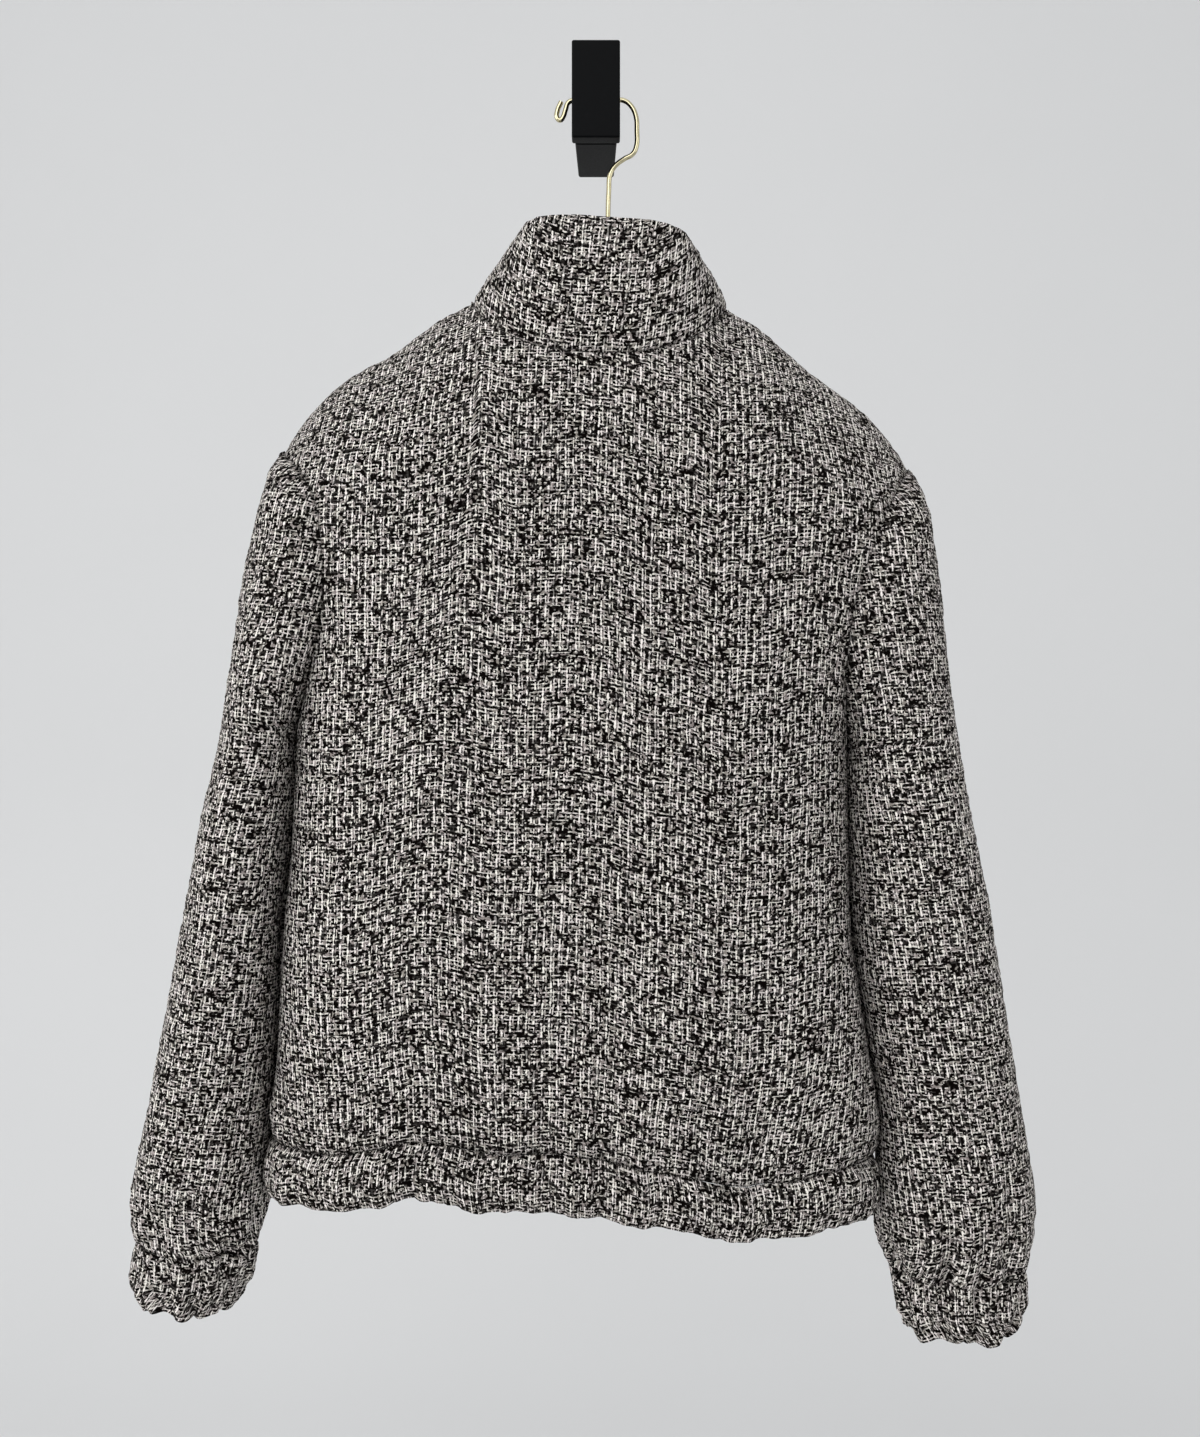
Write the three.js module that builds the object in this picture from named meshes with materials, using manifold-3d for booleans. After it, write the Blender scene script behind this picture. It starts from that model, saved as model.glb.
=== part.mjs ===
// A bomber jacket of thick tweed with a funnel collar, closed by a zip and hung by a wire hanger from a wall hook.
//
// Millimetres, +Z up. The origin is the middle of the wall hook's back face, and the wall is the plane y = 0.
// The jacket hangs in front of the wall (negative y) with its back outwards and its front, with the zip, to the wall.
// +X is to the right for someone who faces the wall, so the wearer's left is at negative x.
//
// The cloth and the hanger share the "hanging" group. Its own origin is between the two neck points, in the plane of
// the hanger's wire. There x runs to the wearer's right, y to the jacket's front and z up the jacket.

import * as THREE from 'three';
import { mergeVertices } from 'three/addons/utils/BufferGeometryUtils.js';
import Module from 'manifold-3d';

const wasm = await Module();
wasm.setup();

// Driving sizes.
const CLOTH = 2.2; // the tweed's wall
const COLLAR_CLOTH = 2.6; // two layers at the collar
const SEAM_GAP = 0.5; // between pieces that are sewn together
const SLEEVE_INSET = 0.6; // the sleeves keep this far from their seams, because the armpit is a tight fold
const TOUCH_GAP = 0.3; // between pieces that rest on each other
const WIRE_RADIUS = 1.75;

const HANGING_PLACE = new THREE.Vector3(2.2, -58, -126.2);
const HANGING_TILT = THREE.MathUtils.degToRad(1.6); // the right shoulder hangs a little lower

const ARM = { length: 68, height: 32, wallWidth: 23, plateWidth: 29 };
const PLATE = { width: 33.2, height: 67, thickness: 13, bevel: 1.2 };

const NECK = { halfWidth: 88, backDrop: 47, frontDrop: 75, ridge: 30 };
const SHOULDER_TIP = { x: 219, z: -108 };
const ARMPIT_Z = -300;
const WAIST_SEAM_Z = -584;
const FRONT_EDGE_X = 5.6; // each front stops here, beside the zip's teeth
const BACK_POWER = 2.8; // squareness of the back's cross-section
const FRONT_POWER = 2.6;
const SHOULDER_FALL = { back: 105, front: 90 }; // height over which the cloth falls out to its full depth

// The grids. Half a panel has NECK_COLUMNS columns from its centre line to the neck point, then SHOULDER_COLUMNS.
const NECK_COLUMNS = 6;
const SHOULDER_COLUMNS = 6;
const HALF_COLUMNS = NECK_COLUMNS + SHOULDER_COLUMNS;
const ARMHOLE_ROWS = 9;
const COLLAR_ROWS = 5;

// The shoulder line, from the neck point to the shoulder tip.
const SHOULDER_LINE = [
  { x: 88, z: 0 },
  { x: 114, z: -14 },
  { x: 143, z: -38 },
  { x: 172, z: -58 },
  { x: 192, z: -74 },
  { x: 206, z: -90 },
  { x: 219, z: -108 },
];

// The armhole's seam, from the armpit up: its distance from the middle on each side, and how far the cloth
// would spread beyond it if the sleeve were not there.
const ARMHOLE = [
  { z: -300, left: 200, right: 180, spread: 0 },
  { z: -290, left: 197.2, right: 178.4, spread: 2 },
  { z: -265, left: 190, right: 175, spread: 7 },
  { z: -230, left: 182, right: 175, spread: 14 },
  { z: -200, left: 180, right: 179, spread: 20 },
  { z: -170, left: 182, right: 188, spread: 27 },
  { z: -145, left: 188, right: 198, spread: 31 },
  { z: -122, left: 204, right: 210, spread: 28 },
  { z: -108, left: 219, right: 219, spread: 20 },
];

// The body below the armholes: distance of each side from the middle.
const SIDES = [
  { z: -584, left: 210, right: 208 },
  { z: -562, left: 212, right: 210 },
  { z: -530, left: 209, right: 204 },
  { z: -480, left: 207.5, right: 195 },
  { z: -430, left: 206, right: 187 },
  { z: -380, left: 202, right: 183 },
  { z: -335, left: 200, right: 181 },
  { z: -300, left: 200, right: 180 },
];

// Depth of the body behind and in front of the hanger's plane.
const DEPTHS = [
  { z: -584, back: 75, front: 44 },
  { z: -555, back: 80, front: 47 },
  { z: -480, back: 81, front: 48 },
  { z: -400, back: 80, front: 48 },
  { z: -300, back: 79, front: 46 },
  { z: -200, back: 76, front: 44 },
  { z: -108, back: 73, front: 42 },
  { z: -47, back: 70, front: 42 },
  { z: 0, back: 70, front: 42 },
];

// The gathered waistband, below its seam: drop, and how far it stands out or in from the seam.
const WAISTBAND = [
  { drop: 0, out: 0 },
  { drop: 9, out: 3.5 },
  { drop: 26, out: 4 },
  { drop: 42, out: -1.5 },
];

// How the back's waist rises and falls along x.
const WAIST_WAVES = [
  { x: -102, reach: 42, rise: 14 },
  { x: -12, reach: 50, rise: 10 },
  { x: 120, reach: 60, rise: -9 },
];

// The largest folds of the back and the fronts: soft troughs that run down the cloth.
const BACK_FOLDS = [
  { x: -146, reach: 26, depth: 4, top: -190, bottom: -520 },
  { x: -92, reach: 24, depth: 4, top: -420, bottom: -700 },
  { x: 118, reach: 30, depth: 3.5, top: -430, bottom: -700 },
  { x: 30, reach: 34, depth: 2.5, top: -300, bottom: -560 },
];
const FRONT_FOLDS = [
  { x: -120, reach: 30, depth: 3, top: -230, bottom: -700 },
  { x: 108, reach: 34, depth: 3, top: -260, bottom: -700 },
];

// Sections of each sleeve below the armhole: the outer and inner ends of each ring, and its depth behind and in
// front of the hanger's plane. The last row is the seam of the cuff.
const LEFT_SLEEVE = [
  { outerX: 225.5, outerZ: -122, innerX: 216, innerZ: -286, back: 43, front: 28 },
  { outerX: 232, outerZ: -148, innerX: 208, innerZ: -309, back: 48, front: 35 },
  { outerX: 240, outerZ: -193, innerX: 205, innerZ: -322, back: 52, front: 39 },
  { outerX: 247.5, outerZ: -252, innerX: 203.5, innerZ: -336, back: 54, front: 42 },
  { outerX: 254, outerZ: -316, innerX: 202.5, innerZ: -356, back: 54, front: 44 },
  { outerX: 264, outerZ: -360, innerX: 204, innerZ: -386, back: 54, front: 45 },
  { outerX: 273, outerZ: -412, innerX: 207.5, innerZ: -427, back: 53, front: 45 },
  { outerX: 283, outerZ: -475, innerX: 209, innerZ: -487, back: 52, front: 44 },
  { outerX: 293, outerZ: -539, innerX: 212, innerZ: -548, back: 50, front: 43 },
  { outerX: 302, outerZ: -590, innerX: 215.5, innerZ: -600, back: 47, front: 42 },
  { outerX: 307, outerZ: -626, innerX: 213.5, innerZ: -634, back: 44, front: 41 },
  { outerX: 306, outerZ: -649, innerX: 217, innerZ: -655, back: 40, front: 38 },
  { outerX: 302.5, outerZ: -660, innerX: 222.5, innerZ: -666, back: 35, front: 34 },
];
const RIGHT_SLEEVE = [
  { outerX: 225.5, outerZ: -121, innerX: 191, innerZ: -296, back: 43, front: 31 },
  { outerX: 234.5, outerZ: -147, innerX: 187.5, innerZ: -312, back: 48, front: 35 },
  { outerX: 242, outerZ: -190, innerX: 185.5, innerZ: -322, back: 52, front: 39 },
  { outerX: 249, outerZ: -247, innerX: 184.5, innerZ: -336, back: 54, front: 42 },
  { outerX: 258, outerZ: -303, innerX: 184, innerZ: -356, back: 54, front: 44 },
  { outerX: 269, outerZ: -355, innerX: 185.5, innerZ: -386, back: 54, front: 45 },
  { outerX: 279.5, outerZ: -403, innerX: 189, innerZ: -427, back: 53, front: 45 },
  { outerX: 294, outerZ: -476, innerX: 198.5, innerZ: -490, back: 52, front: 45 },
  { outerX: 308, outerZ: -545, innerX: 211, innerZ: -553, back: 51, front: 44 },
  { outerX: 318, outerZ: -598, innerX: 214.5, innerZ: -606, back: 49, front: 43 },
  { outerX: 322.5, outerZ: -633, innerX: 215, innerZ: -640, back: 46, front: 42 },
  { outerX: 321.5, outerZ: -653, innerX: 219, innerZ: -658, back: 42, front: 39 },
  { outerX: 318.5, outerZ: -663, innerX: 222, innerZ: -668, back: 37, front: 35 },
];

// The gathered cuffs, from their seam down.
const LEFT_CUFF = [
  { outerX: 302.5, outerZ: -660, innerX: 222.5, innerZ: -666, back: 35, front: 34 },
  { outerX: 307, outerZ: -672, innerX: 223, innerZ: -677, back: 38, front: 37 },
  { outerX: 307.5, outerZ: -686, innerX: 224.5, innerZ: -690, back: 38, front: 37 },
  { outerX: 303, outerZ: -702, innerX: 228, innerZ: -706, back: 35, front: 34 },
];
const RIGHT_CUFF = [
  { outerX: 318.5, outerZ: -663, innerX: 222, innerZ: -668, back: 37, front: 35 },
  { outerX: 321.5, outerZ: -675, innerX: 223, innerZ: -680, back: 40, front: 38 },
  { outerX: 322.5, outerZ: -690, innerX: 225, innerZ: -694, back: 40, front: 38 },
  { outerX: 319, outerZ: -706, innerX: 229, innerZ: -709, back: 37, front: 35 },
];
const SLEEVE_POWER = 2.3;

// The collar: the loop of its top edge, and how far the wall rolls out on the way up.
const COLLAR_TOP = { halfWidth: 61, back: 60, front: 45, z: 45, leanX: 4, power: 2.6 };
const COLLAR_ROLL = { out: 7, at: 0.28 };

// The zip. Its teeth run up the middle of the front, between the two edges of the fronts.
const TAPE = { reach: 13, thickness: 0.9, inner: 1.7 };
const TEETH = { halfWidth: 2.7, thickness: 2.2 };
const SLIDER = { halfWidth: 4.9, length: 14, plate: 1.4, wedge: 1.1, middleZ: 33 };
const BRIDGE = { width: 2.6, length: 8, rise: 3.1, wall: 1.1 };
const PULL = { width: 6.4, length: 24, thickness: 1.2, pin: 0.65, eye: 6.2, top: 0.5 };
const BOX = { width: 8, height: 9, proud: 0.8 };

// The hanger: a wire frame inside the shoulders and a hook that goes up through the collar.
const FRAME_APEX = { x: 4, z: 27 };
const FRAME_REACH = 176; // the frame's arms follow the shoulder line this far out
const FRAME_CORNER = { x: 189, z: -86 };
const FRAME_BAR_Z = -100;
const FERRULE = { radius: 4.2, bottom: 17, top: 40 };
const HOOK_TOP_Z = ARM.height / 2 + TOUCH_GAP + WIRE_RADIUS + 0.15; // the wire's axis, above the origin

const MATERIALS = {
  tweed: new THREE.MeshStandardMaterial({ color: 0x77726e, roughness: 0.95, metalness: 0 }),
  tape: new THREE.MeshStandardMaterial({ color: 0x141414, roughness: 0.9, metalness: 0 }),
  brass: new THREE.MeshStandardMaterial({ color: 0xc9b77a, roughness: 0.28, metalness: 1 }),
  black: new THREE.MeshStandardMaterial({ color: 0x0c0c0e, roughness: 0.45, metalness: 0.3 }),
};

// ---------------------------------------------------------------------------------------------------------------
// Small helpers

const clamp01 = (value) => THREE.MathUtils.clamp(value, 0, 1);
const lerp = THREE.MathUtils.lerp;
const vector = (x, y, z) => new THREE.Vector3(x, y, z);
const bump = (x, centre, reach) => Math.exp(-(((x - centre) / reach) ** 2));
const signedPower = (value, exponent) => Math.sign(value) * Math.abs(value) ** exponent;

// A smooth curve through a table's rows. The returned function gives all the columns at a value of the key column.
function along(rows, key) {
  const names = Object.keys(rows[0]).filter((name) => name !== key);
  const slope = (i, name) => {
    const before = rows[Math.max(i - 1, 0)];
    const after = rows[Math.min(i + 1, rows.length - 1)];
    return (after[name] - before[name]) / (after[key] - before[key]);
  };
  return (value) => {
    let i = 0;
    while (i < rows.length - 2 && (value - rows[i + 1][key]) * (rows[1][key] - rows[0][key]) > 0) i++;
    const span = rows[i + 1][key] - rows[i][key];
    const t = clamp01((value - rows[i][key]) / span);
    const result = {};
    for (const name of names) {
      const a = rows[i][name];
      const b = rows[i + 1][name];
      result[name] =
        a * (1 - t) ** 2 * (1 + 2 * t) + b * t ** 2 * (3 - 2 * t) +
        span * (slope(i, name) * t * (1 - t) ** 2 - slope(i + 1, name) * t ** 2 * (1 - t));
    }
    return result;
  };
}

const shoulderAt = along(SHOULDER_LINE, 'x');
const armholeAt = along(ARMHOLE, 'z');
const sidesAt = along(SIDES, 'z');
const depthsAt = along(DEPTHS, 'z');

// ---------------------------------------------------------------------------------------------------------------
// Cloth: a panel is a grid of points on the outer face. Neighbouring panels share the points of their seam.

const PANELS = [];

class Panel {
  // pointAt(column, row) gives a point. Columns run so that (next column) x (next row) points out of the cloth.
  constructor(name, columns, rows, pointAt, { ring = false, thickness = CLOTH, inset = SEAM_GAP / 2 } = {}) {
    Object.assign(this, { name, columns, rows, ring, thickness, inset });
    this.width = ring ? columns : columns + 1;
    this.points = Array.from({ length: rows + 1 }, (_, row) =>
      Array.from({ length: this.width }, (_, column) => pointAt(column, row)));
    this.ownNormals = this.points.map((line, row) => line.map((_, column) => this.normalAt(column, row)));
    this.normals = this.ownNormals.map((line) => line.map((normal) => normal.clone()));
    PANELS.push(this);
  }

  point(column, row) {
    const wrapped = this.ring ? (column + this.columns) % this.columns : THREE.MathUtils.clamp(column, 0, this.columns);
    return this.points[THREE.MathUtils.clamp(row, 0, this.rows)][wrapped];
  }

  normalAt(column, row) {
    const across = this.point(column + 1, row).clone().sub(this.point(column - 1, row));
    const up = this.point(column, row + 1).clone().sub(this.point(column, row - 1));
    return across.cross(up).normalize();
  }

  // The edge's points as [column, row] pairs, in loops that have the cloth on their left when seen from outside.
  edgeLoops() {
    const bottom = Array.from({ length: this.width }, (_, column) => [column, 0]);
    const top = Array.from({ length: this.width }, (_, column) => [this.width - 1 - column, this.rows]);
    if (this.ring) return [bottom, top];
    const between = Array.from({ length: this.rows - 1 }, (_, i) => i + 1);
    const right = between.map((row) => [this.columns, row]);
    const left = between.map((row) => [0, this.rows - row]);
    return [[...bottom, ...right, ...top, ...left]];
  }

  // How far each point of the edge moves back from its seam, at right angles to the seam.
  edgeInsets() {
    const insets = this.points.map((line) => line.map(() => vector(0, 0, 0)));
    for (const loop of this.edgeLoops()) {
      loop.forEach(([column, row], i) => {
        const [nextColumn, nextRow] = loop[(i + 1) % loop.length];
        const [lastColumn, lastRow] = loop[(i + loop.length - 1) % loop.length];
        const ahead = this.points[nextRow][nextColumn].clone().sub(this.points[row][column]).normalize();
        const behind = this.points[row][column].clone().sub(this.points[lastRow][lastColumn]).normalize();
        insets[row][column] = this.ownNormals[row][column].clone().cross(ahead.add(behind)).setLength(this.inset);
      });
    }
    return insets;
  }

  // A point moved inwards through the cloth.
  inside(column, row, depth) {
    return this.points[row][column].clone().addScaledVector(this.normals[row][column], -depth);
  }

  geometry() {
    const insets = this.edgeInsets();
    const layer = (depth) => this.points.map((line, row) => line.map((_, column) =>
      this.inside(column, row, depth).add(insets[row][column])));
    return wallGeometry(layer(0), layer(this.thickness), this.ring);
  }
}

// A closed wall between two grids of the same size: outer and inner.
function wallGeometry(outer, inner, ring) {
  const rows = outer.length;
  const width = outer[0].length;
  const columns = ring ? width : width - 1;
  const positions = [];
  const push = (...points) => points.forEach((p) => positions.push(p.x, p.y, p.z));
  const quad = (a, b, c, d) => push(a, b, c, a, c, d);
  for (let row = 0; row < rows - 1; row++) {
    for (let column = 0; column < columns; column++) {
      const next = (column + 1) % width;
      quad(outer[row][column], outer[row][next], outer[row + 1][next], outer[row + 1][column]);
      quad(inner[row][column], inner[row + 1][column], inner[row + 1][next], inner[row][next]);
    }
  }
  for (let column = 0; column < columns; column++) {
    const next = (column + 1) % width;
    const top = rows - 1;
    quad(outer[0][column], inner[0][column], inner[0][next], outer[0][next]);
    quad(outer[top][column], outer[top][next], inner[top][next], inner[top][column]);
  }
  if (!ring) {
    for (let row = 0; row < rows - 1; row++) {
      const end = width - 1;
      quad(outer[row][0], outer[row + 1][0], inner[row + 1][0], inner[row][0]);
      quad(outer[row][end], inner[row][end], inner[row + 1][end], outer[row + 1][end]);
    }
  }
  return new THREE.BufferGeometry().setAttribute('position', new THREE.Float32BufferAttribute(positions, 3));
}

// Panels that meet at a seam get the same direction through the cloth there, so that their walls line up.
function lineUpSeams() {
  const shared = new Map();
  const key = (p) => [p.x, p.y, p.z].map((value) => value.toFixed(2)).join();
  const eachEdgePoint = (use) => PANELS.forEach((panel) => panel.edgeLoops().flat().forEach(([column, row]) =>
    use(key(panel.points[row][column]), panel.normals[row], column)));
  eachEdgePoint((place, normals, column) => {
    const sum = shared.get(place) ?? vector(0, 0, 0);
    shared.set(place, sum.add(normals[column]));
  });
  eachEdgePoint((place, normals, column) => {
    normals[column] = shared.get(place).clone().normalize();
  });
}

// ---------------------------------------------------------------------------------------------------------------
// The body of the jacket

// Angles round a quarter of a superellipse, from its middle (0) to its side (a quarter turn), evenly spaced along it.
function evenAngles(width, depth, power, from, count) {
  const fine = 400;
  const at = (angle) => [width * Math.sin(angle) ** (2 / power), depth * Math.cos(angle) ** (2 / power)];
  const start = Math.asin((from / width) ** (power / 2));
  const angles = Array.from({ length: fine + 1 }, (_, i) => Math.min(lerp(start, Math.PI / 2, i / fine), Math.PI / 2));
  const lengths = [0];
  for (let i = 1; i <= fine; i++) {
    const [a, b] = [at(angles[i - 1]), at(angles[i])];
    lengths.push(lengths[i - 1] + Math.hypot(b[0] - a[0], b[1] - a[1]));
  }
  return Array.from({ length: count + 1 }, (_, k) => {
    const wanted = (lengths[fine] * k) / count;
    return angles[Math.max(lengths.findIndex((length) => length >= wanted - 1e-9), 0)];
  });
}

// What differs between the back and the fronts.
const FACES = {
  back: { sign: -1, edge: 0, neckDrop: NECK.backDrop, power: BACK_POWER, folds: BACK_FOLDS },
  front: { sign: 1, edge: FRONT_EDGE_X, neckDrop: NECK.frontDrop, power: FRONT_POWER, folds: FRONT_FOLDS },
};
const TYPICAL_HALF_WIDTH = 200;
for (const [name, face] of Object.entries(FACES)) {
  const angles = evenAngles(TYPICAL_HALF_WIDTH, depthsAt(ARMPIT_Z)[name], face.power, face.edge, HALF_COLUMNS);
  // Where each column meets the neckline or the shoulder line.
  face.topEdge = angles.map((_, column) => {
    if (column < NECK_COLUMNS) {
      const x = lerp(face.edge, NECK.halfWidth, Math.sin((Math.PI * column) / (2 * NECK_COLUMNS)));
      return { x, z: -face.neckDrop * (1 - (x / NECK.halfWidth) ** 2.5) ** 0.7 };
    }
    const x = lerp(NECK.halfWidth, SHOULDER_TIP.x, (column - NECK_COLUMNS) / SHOULDER_COLUMNS);
    return { x, z: shoulderAt(x).z };
  });
  // The share of the panel's half width at which each column runs, low down and along the top edge.
  const share = (x, whole) => (x - face.edge) / (whole - face.edge);
  face.lowShares = angles.map((angle) =>
    share(TYPICAL_HALF_WIDTH * Math.sin(angle) ** (2 / face.power), TYPICAL_HALF_WIDTH));
  face.topShares = face.topEdge.map(({ x }) => share(x, SHOULDER_TIP.x));
}

// Heights of the rows along the side seam and then up the armhole.
const SIDE_ROWS = SIDES.map((section) => section.z);
const ARMHOLE_HEIGHTS = Array.from({ length: ARMHOLE_ROWS }, (_, i) =>
  lerp(ARMPIT_Z, SHOULDER_TIP.z, (1 - Math.cos((Math.PI * (i + 1)) / ARMHOLE_ROWS)) / 2));
const BODY_HEIGHTS = [...SIDE_ROWS, ...ARMHOLE_HEIGHTS];
const BODY_ROWS = BODY_HEIGHTS.length - 1;
const ARMPIT_ROW = SIDE_ROWS.length - 1;

const ROW_RISE = 2.2; // the rows are level low down and follow the shoulder line at the top

const waistWave = (x) => WAIST_WAVES.reduce((sum, wave) => sum + wave.rise * bump(x, wave.x, wave.reach), 0);
// The cloth falls away from the shoulder line like a tent: 0 at the line, 1 where it has its full depth. Between the
// neck points the line is a bow over the neck.
const ridgeAt = (x) => (x < NECK.halfWidth ? NECK.ridge * (1 - (x / NECK.halfWidth) ** 2) : shoulderAt(x).z);
const fallShare = (share) => (1 - (1 - clamp01(share)) ** 1.7) ** 0.72;

// How far the folds press the cloth in at a place.
function foldDepth(folds, x, z) {
  return folds.reduce((sum, fold) => {
    const half = (fold.top - fold.bottom) / 2;
    const share = clamp01(1 - ((z - (fold.top + fold.bottom) / 2) / half) ** 2);
    return sum + fold.depth * share * bump(x, fold.x, fold.reach);
  }, 0);
}

// A point of the body on side -1 (wearer's left) or 1. Columns count from the centre line to the side.
function bodyPoint(faceName, side, column, row) {
  const face = FACES[faceName];
  const top = face.topEdge[column];
  const sideZ = BODY_HEIGHTS[row];
  const sideName = side < 0 ? 'left' : 'right';
  const rise = clamp01((sideZ - ARMPIT_Z) / (SHOULDER_TIP.z - ARMPIT_Z));
  const armhole = armholeAt(sideZ);
  const edgeX = row <= ARMPIT_ROW ? sidesAt(sideZ)[sideName] : armhole[sideName];
  const share = lerp(face.lowShares[column], face.topShares[column], THREE.MathUtils.smoothstep(rise, 0, 1));
  const x = lerp(face.edge, edgeX, share);
  const upShare = (sideZ - WAIST_SEAM_Z) / (SHOULDER_TIP.z - WAIST_SEAM_Z);
  const wave = faceName === 'back' ? waistWave(side * x) * (1 - share ** 6) * (1 - upShare) ** 3 : 0;
  const z = sideZ + (top.z - SHOULDER_TIP.z) * rise ** ROW_RISE + wave;
  const spread = row <= ARMPIT_ROW ? 0 : armhole.spread;
  const roundness = clamp01(1 - (x / (edgeX + spread)) ** face.power) ** (1 / face.power);
  const depth = depthsAt(z)[faceName] * roundness * fallShare((ridgeAt(x) - z) / SHOULDER_FALL[faceName]);
  const fold = foldDepth(face.folds, side * x, z) * (1 - share ** 6);
  return vector(side * x, face.sign * Math.max(depth - fold, 0), z);
}

// ---------------------------------------------------------------------------------------------------------------
// Sleeves and cuffs

// A point of a sleeve's ring. Column 0 is on the outer side, half way round is the inner side.
function ringPoint(section, side, column) {
  const angle = (Math.PI * column) / ARMHOLE_ROWS;
  const along = signedPower(Math.cos(angle), 2 / SLEEVE_POWER);
  const across = signedPower(Math.sin(angle), 2 / SLEEVE_POWER);
  const x = lerp(section.innerX, section.outerX, (1 + along) / 2);
  const z = lerp(section.innerZ, section.outerZ, (1 + along) / 2);
  return vector(side * x, across > 0 ? -across * section.back : -across * section.front, z);
}

// The armhole's loop: up the front from the armpit and down the back, in the order of a sleeve's ring.
function armholePoint(side, column) {
  const onBack = column <= ARMHOLE_ROWS;
  const row = onBack ? BODY_ROWS - column : BODY_ROWS - (2 * ARMHOLE_ROWS - column);
  return bodyPoint(onBack ? 'back' : 'front', side, HALF_COLUMNS, row);
}

function addSleeve(name, side, sections, cuffSections) {
  const columns = 2 * ARMHOLE_ROWS;
  // The left sleeve's columns run the other way round, so that both sleeves face out.
  const order = (column) => (side > 0 ? column : (columns - column) % columns);
  new Panel(`sleeve_${name}`, columns, sections.length, (column, row) =>
    row === 0 ? armholePoint(side, order(column)) : ringPoint(sections[row - 1], side, order(column)),
  { ring: true, inset: SLEEVE_INSET });
  new Panel(`cuff_${name}`, columns, cuffSections.length - 1, (column, row) =>
    ringPoint(cuffSections[row], side, order(column)), { ring: true });
}

// ---------------------------------------------------------------------------------------------------------------
// Pieces that go round the body: the collar and the waistband. Their columns start at the edge of the left front,
// run round the back and end at the edge of the right front.

function roundTheBody(column, half) {
  if (column <= half) return { faceName: 'front', side: -1, at: column };
  if (column <= 2 * half) return { faceName: 'back', side: -1, at: 2 * half - column };
  if (column <= 3 * half) return { faceName: 'back', side: 1, at: column - 2 * half };
  return { faceName: 'front', side: 1, at: 4 * half - column };
}

function collarPoint(column, row) {
  const { faceName, side, at } = roundTheBody(column, NECK_COLUMNS);
  const face = FACES[faceName];
  const foot = bodyPoint(faceName, side, at, BODY_ROWS);
  if (row === 0) return foot;
  const start = Math.asin((face.edge / COLLAR_TOP.halfWidth) ** (COLLAR_TOP.power / 2));
  const angle = lerp(start, Math.PI / 2, at / NECK_COLUMNS);
  const x = side * COLLAR_TOP.halfWidth * Math.sin(angle) ** (2 / COLLAR_TOP.power);
  const y = face.sign * COLLAR_TOP[faceName] * clamp01(Math.cos(angle)) ** (2 / COLLAR_TOP.power);
  // The front edges stay in the middle, beside the zip, and the rest of the top edge leans to one side.
  const lean = COLLAR_TOP.leanX * (faceName === 'front' ? at / NECK_COLUMNS : 1);
  const head = vector(x + lean, y, COLLAR_TOP.z);
  const height = row / COLLAR_ROWS;
  const roll = COLLAR_ROLL.out * Math.sin(Math.PI * height ** (Math.log(0.5) / Math.log(COLLAR_ROLL.at)));
  const out = vector(foot.x + head.x, foot.y + head.y, 0).normalize();
  const rollShare = faceName === 'front' ? 0.4 * (at / NECK_COLUMNS) : 1 - 0.6 * (at / NECK_COLUMNS) ** 2;
  return foot.lerp(head, height).addScaledVector(out, roll * rollShare);
}

const BAND_ROWS = WAISTBAND.length - 1;

function waistbandPoint(column, row) {
  const { faceName, side, at } = roundTheBody(column, HALF_COLUMNS);
  const seam = bodyPoint(faceName, side, at, 0);
  const { drop, out } = WAISTBAND[BAND_ROWS - row];
  // The front edges stay beside the zip, so they only move out of the front.
  const away = faceName === 'front' && at === 0 ? vector(0, 1, 0) : vector(seam.x, 1.4 * seam.y, 0).normalize();
  return seam.addScaledVector(away, out).add(vector(0, 0, -drop));
}

// ---------------------------------------------------------------------------------------------------------------
// Build the cloth

const mirrored = (column) => ({ side: column < HALF_COLUMNS ? -1 : 1, at: Math.abs(column - HALF_COLUMNS) });

new Panel('back', 2 * HALF_COLUMNS, BODY_ROWS, (column, row) => {
  const { side, at } = mirrored(column);
  return bodyPoint('back', side, at, row);
});
const frontLeft = new Panel('front_left', HALF_COLUMNS, BODY_ROWS, (column, row) =>
  bodyPoint('front', -1, column, row));
const frontRight = new Panel('front_right', HALF_COLUMNS, BODY_ROWS, (column, row) =>
  bodyPoint('front', 1, HALF_COLUMNS - column, row));
addSleeve('left', -1, LEFT_SLEEVE, LEFT_CUFF);
addSleeve('right', 1, RIGHT_SLEEVE, RIGHT_CUFF);
const collar = new Panel('collar', 4 * NECK_COLUMNS, COLLAR_ROWS, collarPoint, { thickness: COLLAR_CLOTH });
const waistband = new Panel('waistband', 4 * HALF_COLUMNS, BAND_ROWS, waistbandPoint);
lineUpSeams();

const part = new THREE.Group();
const hanging = new THREE.Group();
hanging.position.copy(HANGING_PLACE);
hanging.rotation.y = HANGING_TILT;
part.add(hanging);

function addMesh(group, name, geometry, material) {
  const mesh = new THREE.Mesh(geometry, material);
  mesh.name = name;
  group.add(mesh);
  return mesh;
}

for (const panel of PANELS) addMesh(hanging, panel.name, panel.geometry(), MATERIALS.tweed);

// ---------------------------------------------------------------------------------------------------------------
// The zip: it follows the edge of the left front, from the waistband's hem to the top of the collar.

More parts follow.
